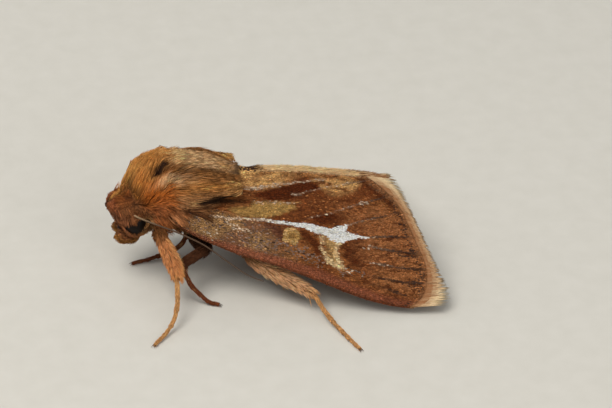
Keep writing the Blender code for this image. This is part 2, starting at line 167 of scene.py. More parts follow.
# Legs: femur, tibia and tarsus end points, each list running on from the one before.
FOOT_Z = 0.12
LEGS = {
    "front_left": (
        ((0.70, -1.30, 2.95), (1.25, -1.50, 2.80), (1.80, -1.50, 3.10)),
        ((2.72, -1.28, 2.50), (3.60, -1.03, 1.81)),
        ((4.70, -1.13, 1.02), (5.50, -1.42, 0.54), (6.04, -1.86, 0.22), (6.90, -2.58, FOOT_Z)),
    ),
    "mid_left": (
        ((0.85, 0.00, 2.60), (1.35, 0.36, 2.30), (1.95, 0.66, 2.22)),
        ((2.42, 0.10, 2.12), (2.70, -0.52, 1.84)),
        ((3.18, -0.28, 1.04), (3.46, 0.14, 0.56), (3.66, 0.56, 0.20), (3.88, 1.04, FOOT_Z)),
    ),
    "hind_left": (
        ((0.95, 1.90, 2.70), (1.70, 2.20, 2.42), (2.56, 2.62, 2.18)),
        ((3.34, 3.30, 1.76), (4.90, 5.42, 0.91)),
        ((5.70, 5.80, 0.54), (6.70, 6.20, 0.26), (8.10, 6.74, 0.14), (8.96, 7.06, FOOT_Z)),
    ),
    "front_right": (
        ((-0.80, -1.50, 2.65), (-1.40, -1.40, 2.44), (-1.98, -1.16, 2.38)),
        ((-2.16, -0.40, 1.94), (-1.92, 0.12, 1.30)),
        ((-1.58, 0.20, 0.74), (-1.28, -0.40, 0.30), (-0.90, -1.60, 0.14), (-0.63, -2.62, FOOT_Z)),
    ),
    "mid_right": (
        ((-0.85, 0.20, 2.60), (-1.50, 0.64, 2.34), (-2.20, 1.00, 2.36)),
        ((-2.90, 0.82, 2.10), (-3.42, 0.56, 1.50)),
        ((-3.90, 0.86, 0.82), (-4.34, 1.30, 0.24), (-4.96, 2.04, FOOT_Z)),
    ),
    "hind_right": (
        ((-0.95, 2.05, 2.70), (-1.65, 1.98, 2.38), (-2.36, 1.98, 2.36)),
        ((-3.14, 3.10, 1.98), (-4.70, 5.60, 0.90)),
        ((-5.40, 6.18, 0.50), (-6.10, 6.90, 0.22), (-7.10, 7.98, FOOT_Z)),
    ),
}
FEMUR_SKIN = 0.19
TIBIA_SKIN = {"front": 0.19, "mid": 0.16, "hind": 0.28}
TARSUS_SKIN = 0.115
TARSUS_TIP = 0.075
TIBIA_COAT = {"front": 0.22, "mid": 0.14, "hind": 0.24}
SPURS = {  # where on a tibia, as shares of its length
    "mid_left": (0.96,), "mid_right": (0.96,), "hind_left": (0.55, 0.97), "hind_right": (0.55, 0.97),
}

VOXEL = 0.055
ALONG_HAIR = np.linspace(0, 1, 4)  # the places of a short hair's points along it
ROOTED = 0.10  # how deep hairs start in the skin, as a share of the coat's depth
FLOOR_REACH = 1.5
PATCH = 0.003  # width of one tuft's patch on the bake map
FACET = 0.028  # width of an eye's facets
SHELL_GRAIN = 0.05


# ---------------------------------------------------------------- colours


def paint(red, green, blue):
    """A colour named by its 0 to 255 screen values, as the linear values that shaders use."""
    share = np.array([red, green, blue]) / 255.0
    return np.where(share <= 0.04045, share / 12.92, ((share + 0.055) / 1.055) ** 2.4)


FOX = paint(176, 98, 36)
GOLD = paint(206, 148, 80)
# Painted highlight along the wings' ridge.
RIDGE_HIGHLIGHT = paint(240, 202, 152)
TAN = paint(198, 138, 76)
TUFT = paint(160, 94, 58)
PAD = paint(168, 112, 58)
PAD_PALE = paint(206, 156, 96)
PAD_LOW = paint(196, 146, 104)
BACK_PALE = paint(242, 198, 150)
FOX_RED = paint(168, 100, 58)
FACE = paint(148, 94, 56)
CROWN = paint(142, 80, 36)
FACE_DARK_AND_SHADE = paint(146, 92, 60)
SHADE = paint(52, 32, 18)
CHEEK = paint(160, 114, 70)
HIP = paint(132, 84, 46)
# Painted shade: the shadow line above the shoulder pads and the hollow behind the collar.
SHADOW_BROWN = paint(58, 36, 22)
CREST_TIP = paint(96, 66, 46)
PALP = paint(160, 108, 54)
BELLY = paint(128, 82, 48)
LEG = paint(222, 164, 104)
LEG_PALE = paint(240, 182, 134)
LEG_FOX = paint(226, 152, 96)
# Dark red-brown, partly painted shade, for the middle legs and the far foreleg; LEG_SHADE is painted
# shade.
LEG_RED_AND_SHADE = paint(122, 64, 36)
LEG_SHADE = paint(84, 50, 30)
GROUND = paint(126, 72, 36)
GROUND_LIGHT = paint(162, 102, 56)
GROUND_PALE = paint(178, 114, 66)
RED_GROUND = paint(112, 56, 24)
GROUND_DARK = paint(86, 42, 16)
GROUND_FRONT = paint(140, 90, 50)
DEEP = paint(88, 38, 10)
CELL = paint(172, 112, 68)
GREY_SCALE = paint(140, 114, 98)
GREY_DARK = paint(74, 52, 40)
GREY_PALE = paint(200, 174, 148)
COSTA_ROSE = paint(146, 84, 58)
DORSAL = paint(222, 172, 108)
OCHRE = paint(184, 144, 82)
BUFF = paint(216, 176, 118)
CREAM = paint(232, 200, 150)
STEM = paint(222, 192, 164)
WHITE = paint(255, 253, 246)
FRINGE_INNER = paint(158, 108, 70)
FRINGE_OUTER = paint(212, 178, 136)
FRINGE_CORNER = paint(244, 222, 178)
UNDERSIDE = paint(150, 122, 96)
HINDWING = paint(150, 130, 108)
ANTENNA_PALE = paint(190, 160, 124)
ANTENNA_DARK = paint(70, 50, 38)


# ---------------------------------------------------------------- numbers


def spline(keys, x):
    """Values at x on a smooth curve through keys of (x, value, ...): an array, the values last."""
    keys = np.asarray(keys, float)
    at, values = keys[:, 0], keys[:, 1:]
    x = np.clip(np.asarray(x, float), at[0], at[-1])
    i = np.clip(np.searchsorted(at, x, side="right") - 1, 0, len(at) - 2)
    before = np.maximum(i - 1, 0)
    after = np.minimum(i + 2, len(at) - 1)
    span = at[i + 1] - at[i]
    u = ((x - at[i]) / span)[..., None]
    slope_here = (values[i + 1] - values[before]) * (span / (at[i + 1] - at[before]))[..., None]
    slope_there = (values[after] - values[i]) * (span / (at[after] - at[i]))[..., None]
    return (
        (2 * u**3 - 3 * u**2 + 1) * values[i]
        + (u**3 - 2 * u**2 + u) * slope_here
        + (3 * u**2 - 2 * u**3) * values[i + 1]
        + (u**3 - u**2) * slope_there
    )


def curves(keys, x):
    """The values of a spline as arrays of their own."""
    return np.moveaxis(spline(keys, x), -1, 0)


def smooth(low, high, x):
    """0 below low, 1 above high, and a soft step between."""
    u = np.clip((x - low) / (high - low), 0.0, 1.0)
    return u * u * (3 - 2 * u)


def mix(first, second, share):
    share = np.asarray(share, float)[..., None]
    return first * (1 - share) + second * share


def layered(colour, *layers):
    """A colour with others laid over it in turn, each given with its share."""
    for other, share in layers:
        colour = mix(colour, other, share)
    return colour


def unit(vectors):
    length = np.linalg.norm(vectors, axis=-1, keepdims=True)
    return vectors / np.maximum(length, 1e-9)


def lattice_value(cell, seed):
    """A fixed pseudo-random number from -1 to 1 for each whole-numbered cell."""
    x, y, z = (cell[..., i].astype(np.int64) for i in range(3))
    mixed = (x * 73856093) ^ (y * 19349663) ^ (z * 83492791) ^ (seed * 2654435761)
    mixed = (mixed ^ (mixed >> 13)) * 1274126177
    return ((mixed ^ (mixed >> 16)) & 0xFFFF) / 32767.5 - 1.0


def noise(points, size, seed=0):
    """Smooth noise from -1 to 1 whose blotches are about size across."""
    place = np.asarray(points, float) / size
    cell = np.floor(place)
    share = place - cell
    share = share * share * (3 - 2 * share)
    total = 0.0
    for corner in np.ndindex(2, 2, 2):
        corner = np.array(corner)
        weight = np.prod(np.where(corner == 1, share, 1 - share), axis=-1)
        total = total + weight * lattice_value(cell + corner, seed)
    return total


# ---------------------------------------------------------------- pieces

EYE_LOW, EYE_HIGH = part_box("eye_left")
FRAME_SHIFT = (EYE_LOW + EYE_HIGH) / 2 / MM - Vector(EYE_CENTRE)


def in_frame(obj):
    """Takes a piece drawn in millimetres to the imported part's frame."""
    obj.data.transform(Matrix.Diagonal((MM, MM, MM, 1)) @ Matrix.Translation(FRAME_SHIFT))
    return obj


def mesh_object(name, vertices, faces, colours=None, bake_places=None):
    """A piece from vertices and equally sided faces, with colours and bake places given per vertex."""
    faces = np.asarray(faces, np.int32)
    sides = faces.shape[1]
    mesh = bpy.data.meshes.new(name)
    mesh.vertices.add(len(vertices))
    mesh.vertices.foreach_set("co", np.asarray(vertices, np.float32).ravel())
    mesh.loops.add(faces.size)
    mesh.loops.foreach_set("vertex_index", faces.ravel())
    mesh.polygons.add(len(faces))
    mesh.polygons.foreach_set("loop_start", np.arange(0, faces.size, sides, dtype=np.int32))
    mesh.polygons.foreach_set("loop_total", np.full(len(faces), sides, np.int32))
    mesh.update(calc_edges=True)
    if bake_places is not None:
        layer = mesh.uv_layers.new(name="OFBake")
        layer.data.foreach_set("uv", np.asarray(bake_places, np.float32)[faces.ravel()].ravel())
    if colours is not None:
        set_colours(mesh, colours)
    mesh.shade_smooth()
    obj = bpy.data.objects.new(name, mesh)
    bpy.context.scene.collection.objects.link(obj)
    return obj


def set_colours(mesh, colours):
    layer = mesh.color_attributes.new("tint", "FLOAT_COLOR", "POINT")
    full = np.ones((len(mesh.vertices), 4), np.float32)
    full[:, :3] = np.clip(colours, 0.0, 1.0)
    layer.data.foreach_set("color", full.ravel())


def finish_piece(obj, material, nodes=()):
    obj.data.materials.clear()
    obj.data.materials.append(material)
    in_frame(obj)
    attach(obj, "root")
    if nodes:
        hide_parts(*nodes)
    return obj


def on_side(points, side):
    """Points of the left side, or mirrored to the right for side -1."""
    return np.asarray(points) * np.array([side, 1.0, 1.0])


def in_turn(count):
    """Evenly spaced turns round a ring."""
    return TAU * np.arange(count) / count


def grid_faces(rows, columns, first=0, around=False):
    """Quads of a grid of vertices laid out row by row, joined round each row if around."""
    j = np.arange(columns if around else columns - 1)
    i = np.arange(rows - 1)[:, None]
    here = first + i * columns + j
    beside = first + i * columns + (j + 1) % columns
    return np.stack([here, beside, beside + columns, here + columns], -1).reshape(-1, 4)


def loft_mesh(rings):
    """Vertices and quads of a closed tube through rings, each end drawn in to a point."""
    count, sides = rings.shape[:2]
    ends = [np.repeat(rings[k].mean(0)[None], sides, 0)[None] for k in (0, -1)]
    rings = np.concatenate([ends[0], rings, ends[1]])
    return rings.reshape(-1, 3), grid_faces(count + 2, sides, around=True)


def joined(parts):
    """One list of vertices and one of faces from several."""
    vertices, faces, first = [], [], 0
    for points, polygons in parts:
        vertices.append(points)
        faces.append(polygons + first)
        first += len(points)
    return np.concatenate(vertices), np.concatenate(faces)


# ---------------------------------------------------------------- body surfaces


def axis_height(y):
    return spline(AXIS, y)[..., 0]


def ridge_height(y):
    return spline(RIDGE, y)[..., 0]


def around_axis(y, turn, wide, tall, middle):
    """Points at turn on ovals that stand across the body at y, wide and tall from their middle."""
    return np.stack([wide * np.cos(turn), y + 0 * turn, middle + tall * np.sin(turn)], -1)


def body_point(sections, y, turn, rise):
    """Points on a body part's oval at y and turn, rise millimetres outside its outline."""
    half_width, top, bottom = curves(sections, y)
    wide = np.maximum(half_width + rise, 0.02)
    tall = np.maximum((top - bottom) / 2 + rise, 0.02)
    return around_axis(y, turn, wide, tall, (top + bottom) / 2)


def side_turn(turn):
    """The same height on the left side, for a turn on either side."""
    return np.arctan2(np.sin(turn), np.abs(np.cos(turn)))


def oval_reach(x, half_width, rise, half_height, turn):
    """How far out from the axis an oval's far side is in direction turn, or 0 where it is missed."""
    level, climb = np.cos(turn), np.sin(turn)
    a = (level / half_width) ** 2 + (climb / half_height) ** 2
    b = x * level / half_width**2 + rise * climb / half_height**2
    c = (x / half_width) ** 2 + (rise / half_height) ** 2 - 1
    crossing = b * b - a * c
    return np.where(crossing > 0, (b + np.sqrt(np.maximum(crossing, 0))) / a, 0.0)


def part_reach(sections, y, turn):
    """Reach of one body part, rounded off past its ends."""
    half_width, top, bottom = curves(sections, y)
    past = np.maximum(np.maximum(sections[0][0] - y, y - sections[-1][0]), 0.0)
    rounding = np.sqrt(np.clip(1 - (past / 0.3) ** 2, 0.0, 1.0))
    rise = (top + bottom) / 2 - axis_height(y)
    return rounding * oval_reach(0.0, half_width, rise, (top - bottom) / 2, turn)


def tegula_reach(y, side):
    """Reach of the shoulder pads, which stop short at their lower edge."""
    low, high, swell = curves(TEGULA, y)
    half_width, top, bottom = curves(THORAX, np.minimum(y, TEGULA_SAG_Y))
    middle = (top + bottom) / 2 - TEGULA_SAG * np.maximum(y - TEGULA_SAG_Y, 0.0)
    rise = middle - axis_height(y)
    angle = np.degrees(side)
    swell = swell * (1 - 0.6 * smooth(22, 58, angle))
    reach = oval_reach(0.0, half_width + swell, rise, (top - bottom) / 2 + swell, side)
    band = smooth(low - 3, low + 3, angle) * smooth(high + 5, high - 14, angle)
    return reach * band * smooth(-1.3, -0.9, y) * smooth(2.85, 2.65, y)


def trunk_reach(y, turn):
    """How far the coat of the head, collar, thorax and shoulder pads reaches, as one smooth form."""
    side = side_turn(turn)
    parts = [part_reach(sections, y, turn) for sections in (HEAD, COLLAR, THORAX)]
    parts.append(tegula_reach(y, side))
    reach = np.log(sum(np.exp(FORM_SHARPNESS * part) for part in parts)) / FORM_SHARPNESS
    return reach - HOLLOW_DEPTH * hollow(y, side)


def hollow(y, side):
    """1 in the middle of the hollow behind the collar, fading to 0 round it."""
    along = (y - HOLLOW_Y) / HOLLOW_LENGTH
    around = (np.degrees(side) - HOLLOW_TURN) / HOLLOW_ANGLE
    return np.exp(-(along**2) - around**2)


def coat_depth(y, side):
    """How far the skin lies inside the tips of the hair."""
    angle = np.degrees(side)
    back = smooth(-3.0, -2.3, y) * smooth(0.0, 30.0, angle)
    flank = smooth(-1.9, -1.2, y)
    return FACE_COAT + (FLANK_COAT - FACE_COAT) * flank + (BACK_COAT - FLANK_COAT) * back


def in_eye_opening(y, side):
    """Whether a place is in the gap in the hair that an eye looks out of."""
    along = (y - EYE_OPENING_Y) / EYE_OPENING_LENGTH
    around = (np.degrees(side) - EYE_OPENING_TURN) / EYE_OPENING_ANGLE
    return along**2 + around**2 < 1.0


def obstacle_reach(y, turn):
    """Reach of the eyes and the wing roof, which hair passes over."""
    side = side_turn(turn)
    rise = axis_height(y)
    ball = np.sqrt(np.maximum((EYE_RADIUS + 0.02) ** 2 - (y - EYE_CENTRE[1]) ** 2, 1e-4))
    eye = oval_reach(EYE_CENTRE[0], ball, EYE_CENTRE[2] - rise, ball, side)
    eye = np.where(np.abs(y - EYE_CENTRE[1]) < EYE_RADIUS, eye, 0.0)
    half_width, low = curves(COSTA, y)
    high = ridge_height(y)
    x, z = RIDGE_CLEARANCE, high - rise
    run, fall = half_width - x, low - high
    away = np.cos(side) * fall - np.sin(side) * run
    wing = np.where(away < -1e-6, (x * fall - z * run) / np.minimum(away, -1e-6), 0.0)
    across = (wing * np.cos(side) - x) / run
    on_wing = (across > 0.0) & (across < 1.0) & (y > FOREWING_ROOT)
    wing = np.where(on_wing, wing + 0.10 + 0.3 * across * (1 - across), 0.0)
    return np.maximum(eye, wing)


def trunk_point(y, turn, reach):
    return around_axis(y, turn, reach, reach, axis_height(y))


def outward_at(turns):
    """Unit vectors away from the body's axis."""
    return around_axis(0 * turns, turns, 1.0, 1.0, 0.0)


def roof(y, across):
    """Points of the left wing's surface at y, from the ridge (across 0) to the costa (across 1)."""
    half_width, low = curves(COSTA, y)
    high = ridge_height(y)
    fall = (1 - ROOF_CURL) * across + ROOF_CURL * across**2
    x = RIDGE_CLEARANCE + (half_width - RIDGE_CLEARANCE) * across
    return np.stack([x, y + 0 * across, high - (high - low) * fall], -1)


def termen(across):
    """How far back the forewing's fringe reaches, with a rounded tornus and apex."""
    apex = np.maximum(across - 1 + CORNER, 0.0) / CORNER
    tornus = np.maximum(CORNER - across, 0.0) / CORNER
    return TORNUS_Y + TERMEN_SLANT * across - APEX_ROUND * apex**2.5 - TORNUS_ROUND * tornus**2


def laid_on_side(points, side):
    """Forewing points as they are on the left, or for the right wing mirrored and drawn forward."""
    if side > 0:
        return points
    x, y, _ = points.T
    half_width = spline(COSTA, y)[:, 0]
    across = np.clip((x - RIDGE_CLEARANCE) / (half_width - RIDGE_CLEARANCE), 0, 1)
    behind = smooth(4.0, TORNUS_Y, y)
    flatter = np.column_stack([0 * y, 0 * y, RIGHT_WING_FLATTER * behind * np.sin(np.pi * across)])
    nearer = y - RIGHT_WING_SHORT * behind
    return (points + roof(nearer, across) - roof(y, across) - flatter) * np.array([-1, 1, 1])


def wing_point(along, across, rise=0.0):
    """Points of the left forewing: along 0 at the root and 1 at the fringe's tips, rise above it."""
    y = FOREWING_ROOT + (termen(across) - FOREWING_ROOT) * along
    point = roof(y, across)
    point[..., 2] += rise
    return point


def wing_frame(along, across):
    """Unit vectors towards the termen, towards the costa and out of the left forewing's surface."""
    step = 0.004
    back = unit(wing_point(along + step, across) - wing_point(along - step, across))
    low, high = np.maximum(across - step, 0.0), np.minimum(across + step, 1.0)
    down = unit(wing_point(along, high) - wing_point(along, low))
    out = unit(np.cross(down, back))
    return back, down, out * np.sign(out[..., 2:3] + 1e-9)


def keyed_by_length(points):
    """Path points as (distance, x, y, z) keys."""
    points = np.asarray(points, float)
    steps = np.linalg.norm(np.diff(points, axis=0), axis=1)
    return np.column_stack([np.concatenate([[0.0], np.cumsum(steps)]), points])


def path_frame(keys, distance):
    """Centre, direction, level side and upper side of a path at each distance."""
    centre = spline(keys, distance)
    along = unit(spline(keys, distance + 0.02) - spline(keys, distance - 0.02))
    side = unit(np.cross(along, np.array([0.0, 0.0, 1.0])))
    return centre, along, side, np.cross(side, along)


def tube_rings(keys, distances, radii, sides):
    centre, _, side, up = path_frame(keys, distances)
    turn = in_turn(sides) + math.pi / sides
    out = side[:, None] * np.cos(turn)[:, None] + up[:, None] * np.sin(turn)[:, None]
    return centre[:, None] + out * np.asarray(radii)[:, None, None]


# ---------------------------------------------------------------- hair and scales


def strand_mesh(paths, widths, outward, flatness=0.55):
    """Closed three-sided hairs along paths of equally many points, running out to a sharp tip.

    Returns the vertices, triangles, and for the points of one hair their place along it and place across
    it.
    """
    count, steps = paths.shape[:2]
    profile = np.interp(np.linspace(0, 1, steps), (0, 0.35, 0.75, 1), (0.75, 1.0, 0.7, 0.0))
    along = unit(np.gradient(paths, axis=1))
    side = unit(np.cross(along, outward))
    up = np.cross(side, along)
    reach = widths[:, None, None] * profile[None, :, None] / 2
    rings = np.stack([paths - side * reach, paths + side * reach, paths + up * reach * 2 * flatness], 2)
    body = rings[:, :-1].reshape(count, -1, 3)
    vertices = np.concatenate([body, paths[:, -1:]], 1)
    template = [(0, 1, 2)]
    for k in range(steps - 2):
        for j in range(3):
            a, b = 3 * k + j, 3 * k + (j + 1) % 3
            template += [(a, a + 3, b + 3), (a, b + 3, b)]
    last = 3 * (steps - 2)
    template += [(last + j, 3 * (steps - 1), last + (j + 1) % 3) for j in range(3)]
    each = vertices.shape[1]
    triangles = np.asarray(template)[None] + each * np.arange(count)[:, None, None]
    place = np.append(np.repeat(np.linspace(0, 1, steps)[:-1], 3), 1.0)
    across = np.append(np.tile([0.0, 1.0, 0.5], steps - 1), 0.5)
    return vertices.reshape(-1, 3), triangles.reshape(-1, 3), place, across


def vane_mesh(roots, back, side, out, lengths, widths, pitch):
    """Closed thin scales, each a shield with a blunt end, its tip lifted by pitch radians."""
    outline = np.array([(0.0, 0.0), (0.5, 0.5), (0.34, 1.0), (-0.34, 1.0), (-0.5, 0.5)])
    local = np.concatenate([np.column_stack([outline, np.zeros(5)]), [(0, 0.7, 0.14)]])
    lift = pitch[:, None]
    lie = back * np.cos(lift) + out * np.sin(lift)
    stand = out * np.cos(lift) - back * np.sin(lift)
    vertices = (
        roots[:, None]
        + (side * widths[:, None])[:, None] * local[None, :, :1]
        + (lie * lengths[:, None])[:, None] * local[None, :, 1:2]
        + (stand * widths[:, None])[:, None] * local[None, :, 2:]
    )
    template = [(j, (j + 1) % 5, 5) for j in range(5)] + [(0, 4, 1), (1, 4, 3), (1, 3, 2)]
    triangles = np.asarray(template)[None] + 6 * np.arange(len(roots))[:, None, None]
    return vertices.reshape(-1, 3), triangles.reshape(-1, 3), local[:, 1], local[:, 0] + 0.5


class Coat:
    """Gathers hairs and scales into one piece, with a small bake patch for each at its root's place."""

    def __init__(self, seed):
        self.rng = np.random.default_rng(seed)
        self.parts, self.colours, self.roots, self.offsets = [], [], [], []

    def add(self, made, root_colours, tip_colours, bake_roots):
        vertices, triangles, place, across = made
        self.parts.append((vertices, triangles))
        share = place[None, :, None] ** 1.3
        colours = root_colours[:, None] * (1 - share) + tip_colours[:, None] * share
        self.colours.append(colours.reshape(-1, 3))
        self.roots.append(np.repeat(bake_roots, len(place), 0))
        patch = (np.column_stack([across, place]) - 0.5) * PATCH
        self.offsets.append(np.tile(patch, (len(bake_roots), 1)))

    def hairs(self, paths, widths, outward, colours, shades, bake_places):
        """Hairs of one colour each, in two shades of it at the root and the tip: darker at the root, as
        painted shade deep in the coat, and brighter at the tip.
        """
        made = strand_mesh(paths, widths + np.zeros(len(paths)), outward)
        root_shade, tip_shade = shades
        tips = np.minimum(colours * tip_shade, 1.0)
        self.add(made, colours * root_shade, tips, np.column_stack(bake_places))

    def piece(self, name, material, slot, place=lambda points: points):
        vertices, triangles = joined(self.parts)
        roots = np.concatenate(self.roots)
        low, high = roots.min(0), roots.max(0)
        places = 0.02 + 0.96 * (roots - low) / (high - low) + np.concatenate(self.offsets)
        obj = mesh_object(name, place(vertices), triangles, np.concatenate(self.colours), places)
        return finish_piece(obj, material)


def into_locks(rng, paths, size, draw):
    """Bends hairs towards their lock's leading hair, most at the tips, and says each hair's lock."""
    leaders = rng.choice(len(paths), max(len(paths) // size, 1), replace=False)
    apart = ((paths[:, None, 0] - paths[None, leaders, 0]) ** 2).sum(-1)
    nearest = np.argmin(apart, axis=1)
    pull = draw * np.linspace(0, 1, paths.shape[1]) ** 1.4
    return paths + (paths[leaders[nearest]] - paths) * pull[None, :, None], nearest


def lock_tones(rng, locks, spread):
    """A brightness for each hair, the same all through its lock."""
    return np.exp(rng.normal(0, spread, locks.max() + 1))[locks, None]


def varied(rng, colours, spread, hue=0.05):
    """Colours that differ a little in brightness and warmth from hair to hair."""
    count = len(colours)
    brightness = np.exp(rng.normal(0, spread, count))[:, None]
    warmth = rng.normal(0, hue, count)[:, None] * np.array([0.6, 0.0, -1.0])
    return np.clip(colours * brightness * (1 + warmth), 0, 1)


# ---------------------------------------------------------------- markings and painted shade of the body


def trunk_colour(y, side, points):
    """Foxy collar, buff back, golden shoulder pads, rosy crown and dark face, with painted shade along the
    pads' edges and in the hollow behind the collar.
    """
    angle = np.degrees(side)
    patchy = noise(points, 0.55, 3)
    streaky = noise(points * np.array([3.0, 0.8, 3.0]), 0.5, 5)
    low_edge, high_edge, _ = curves(TEGULA, y)
    collar = layered(
        FOX,
        (GOLD, np.clip(smooth(20, 85, angle) * 0.75 + 0.25 * streaky, 0, 1)),
        (FOX_RED, 0.7 * smooth(30, 5, angle) * smooth(-0.4, -1.6, y)),
    )
    pad = layered(
        PAD,
        (TAN, np.clip(0.3 + 0.6 * streaky, 0, 1)),
        (CREST_TIP, 0.4 * smooth(34, 46, angle)),
        (PAD_LOW, 0.6 * smooth(32, 14, angle)),
        (PAD_PALE, 0.6 * smooth(0.8, 2.2, y) * smooth(60, 30, angle)),
    )
    back = layered(
        BACK_PALE,
        (GOLD, np.clip(0.5 + 0.35 * patchy, 0, 1)),
        (CREST_TIP, 0.8 * smooth(1.7, 2.3, y) * smooth(40, 55, angle)),
    )
    # Painted shadow line between the shoulder pad and the back.
    seam_shadow = np.exp(-(((angle - high_edge - 2) / 3.5) ** 2)) * smooth(-0.9, -0.3, y) * smooth(1.6, 0.8, y)
    # Painted shade under the pad's lower edge: darker brown, and a little lower a narrow band of painted
    # shadow.
    below = smooth(low_edge + 1, low_edge - 4, angle) * smooth(-0.5, -0.2, y)
    thorax = layered(
        pad,
        (back, smooth(58, 72, angle)),
        (SHADOW_BROWN, 0.5 * seam_shadow),
        (HIP, 0.8 * below),
        (SHADE, below * smooth(low_edge - 15, low_edge - 9, angle)),
        (BELLY, smooth(-20, -40, angle)),
    )
    fan = smooth(12, -4, angle) * smooth(0.3, -0.6, y) * smooth(-30, -20, angle)
    pale = np.exp(-(((y + 1.05) / 0.55) ** 2) - ((angle - 43) / 6.5) ** 2)
    body = layered(
        collar,
        (thorax, smooth(-1.5, -0.6, y + 0.3 * patchy)),
        (FOX_RED, 0.6 * fan),
        (BACK_PALE, 0.8 * pale),
        # Painted shade in the hollow behind the collar.
        (SHADOW_BROWN, np.clip(1.6 * hollow(y, side), 0, 1)),
    )
    return layered(
        FACE,
        (CROWN, smooth(25, 60, angle)),
        (FACE_DARK_AND_SHADE, 0.8 * smooth(24, 4, angle) * smooth(-2.6, -3.1, y)),
        (TUFT, smooth(-3.2, -3.55, y + 0.1 * patchy) * smooth(2, 22, angle)),
        (CHEEK, smooth(-2.5, -2.1, y) * smooth(-4, -18, angle)),
        (body, on_collar(y, angle, 14)),
    )


def on_collar(y, angle, soft=5.0):
    """0 on the head and 1 on the collar and everything behind it, with an edge soft degrees wide."""
    edge = np.interp(y, (-2.95, -2.6, -2.2, -1.7, -1.5), (78.0, 44.0, 22.0, -12.0, -60.0))
    return smooth(edge - soft, edge + soft, angle)


def abdomen_colour(points):
    return mix(BELLY, TAN, 0.35 + 0.35 * noise(points, 0.8, 11))


def skin_colour(points):
    """The body's markings as the coat carries them, darkened as painted shade under the hair."""
    x, y, z = points.T
    side = np.arctan2(z - axis_height(y), np.abs(x))
    colour = mix(trunk_colour(y, side, points), abdomen_colour(points), smooth(2.5, 2.9, y))
    leg = np.maximum(smooth(2.0, 2.3, np.abs(x)), smooth(2.2, 1.9, z) * smooth(1.0, 1.3, np.abs(x)))
    # 0.55: painted shade under the hair.
    return 0.55 * mix(colour, LEG, leg)


# ---------------------------------------------------------------- markings of the forewing, with painted shadow and highlight

# Each mark is a row of (along, across, half width in millimetres) points on the wing.
WHITE_MARK = (
    (
        (0.11, 0.72, 0.03), (0.17, 0.68, 0.05), (0.23, 0.655, 0.06), (0.30, 0.605, 0.05),
        (0.37, 0.58, 0.07), (0.43, 0.57, 0.08), (0.48, 0.56, 0.09), (0.52, 0.55, 0.16),
        (0.56, 0.56, 0.22), (0.60, 0.565, 0.21), (0.63, 0.57, 0.30), (0.66, 0.565, 0.35),
    ),
    ((0.66, 0.57, 0.33), (0.69, 0.56, 0.20), (0.72, 0.55, 0.10), (0.77, 0.545, 0.03)),
    ((0.65, 0.535, 0.22), (0.68, 0.50, 0.15), (0.70, 0.47, 0.05)),
    ((0.625, 0.585, 0.26), (0.648, 0.608, 0.15)),
)
KIDNEY = ((0.61, 0.62, 0.25), (0.602, 0.67, 0.24), (0.596, 0.74, 0.22), (0.600, 0.79, 0.20))
KIDNEY_CORE = ((0.590, 0.675, 0.07), (0.588, 0.715, 0.09), (0.592, 0.765, 0.06))
KIDNEY_RIM = (
    ((0.585, 0.595, 0.04), (0.572, 0.64, 0.10), (0.574, 0.67, 0.06)),
    ((0.561, 0.715, 0.06), (0.564, 0.755, 0.08), (0.570, 0.79, 0.11)),
    ((0.572, 0.80, 0.12), (0.590, 0.825, 0.14), (0.618, 0.825, 0.15)),
    ((0.637, 0.63, 0.09), (0.628, 0.67, 0.09), (0.618, 0.70, 0.08)),
    ((0.618, 0.70, 0.08), (0.611, 0.75, 0.11), (0.614, 0.80, 0.14)),
)
RING_SPOT = (0.455, 0.675, 0.46, 0.42)  # along, across, half length and half width in millimetres
DARK_MARKS = (
    ((0.66, 0.66, 0.16), (0.69, 0.64, 0.36), (0.73, 0.63, 0.36), (0.755, 0.62, 0.14)),
    ((0.66, 0.72, 0.22), (0.69, 0.73, 0.34), (0.72, 0.71, 0.22)),
    ((0.66, 0.78, 0.12), (0.70, 0.78, 0.14)),
    ((0.57, 0.46, 0.14), (0.62, 0.45, 0.30), (0.67, 0.43, 0.34), (0.69, 0.41, 0.20)),
    ((0.50, 0.61, 0.10), (0.53, 0.66, 0.24), (0.545, 0.72, 0.20), (0.54, 0.77, 0.10)),
    ((0.36, 0.63, 0.08), (0.40, 0.65, 0.18), (0.41, 0.72, 0.14)),
)
DARK_STREAK = (
    (0.36, 0.33, 0.12), (0.40, 0.315, 0.26), (0.44, 0.295, 0.32), (0.49, 0.26, 0.38),
    (0.53, 0.225, 0.34), (0.58, 0.185, 0.29), (0.63, 0.16, 0.16),
)
STREAK_FLECK = ((0.51, 0.275, 0.08), (0.54, 0.265, 0.06))
SUBDORSAL = (
    (0.31, 0.25, 0.11), (0.365, 0.25, 0.10), (0.41, 0.22, 0.08), (0.46, 0.19, 0.07),
    (0.505, 0.165, 0.06), (0.555, 0.14, 0.05), (0.68, 0.09, 0.04),
)
OCHRE_BAND = (
    (0.22, 0.545, 0.12), (0.28, 0.54, 0.26), (0.34, 0.50, 0.36), (0.40, 0.46, 0.36),
    (0.46, 0.42, 0.24), (0.50, 0.39, 0.08),
)
OCHRE_LINE = ((0.33, 0.42, 0.06), (0.39, 0.395, 0.08), (0.45, 0.38, 0.07), (0.53, 0.345, 0.03))
GREY_BANDS = (
    ((0.30, 0.80, 0.20), (0.40, 0.79, 0.30), (0.48, 0.81, 0.34), (0.54, 0.84, 0.24)),
    ((0.60, 0.87, 0.08), (0.65, 0.84, 0.16), (0.70, 0.84, 0.10)),
)
PALE_FLECKS = (
    ((0.215, 0.72, 0.10), (0.25, 0.76, 0.18), (0.29, 0.74, 0.08)),
    ((0.12, 0.90, 0.08), (0.165, 0.92, 0.12)),
    ((0.735, 0.63, 0.06), (0.75, 0.63, 0.06)),
    ((0.634, 0.840, 0.08), (0.652, 0.842, 0.08)),
    ((0.79, 0.27, 0.10), (0.82, 0.27, 0.08)),
)
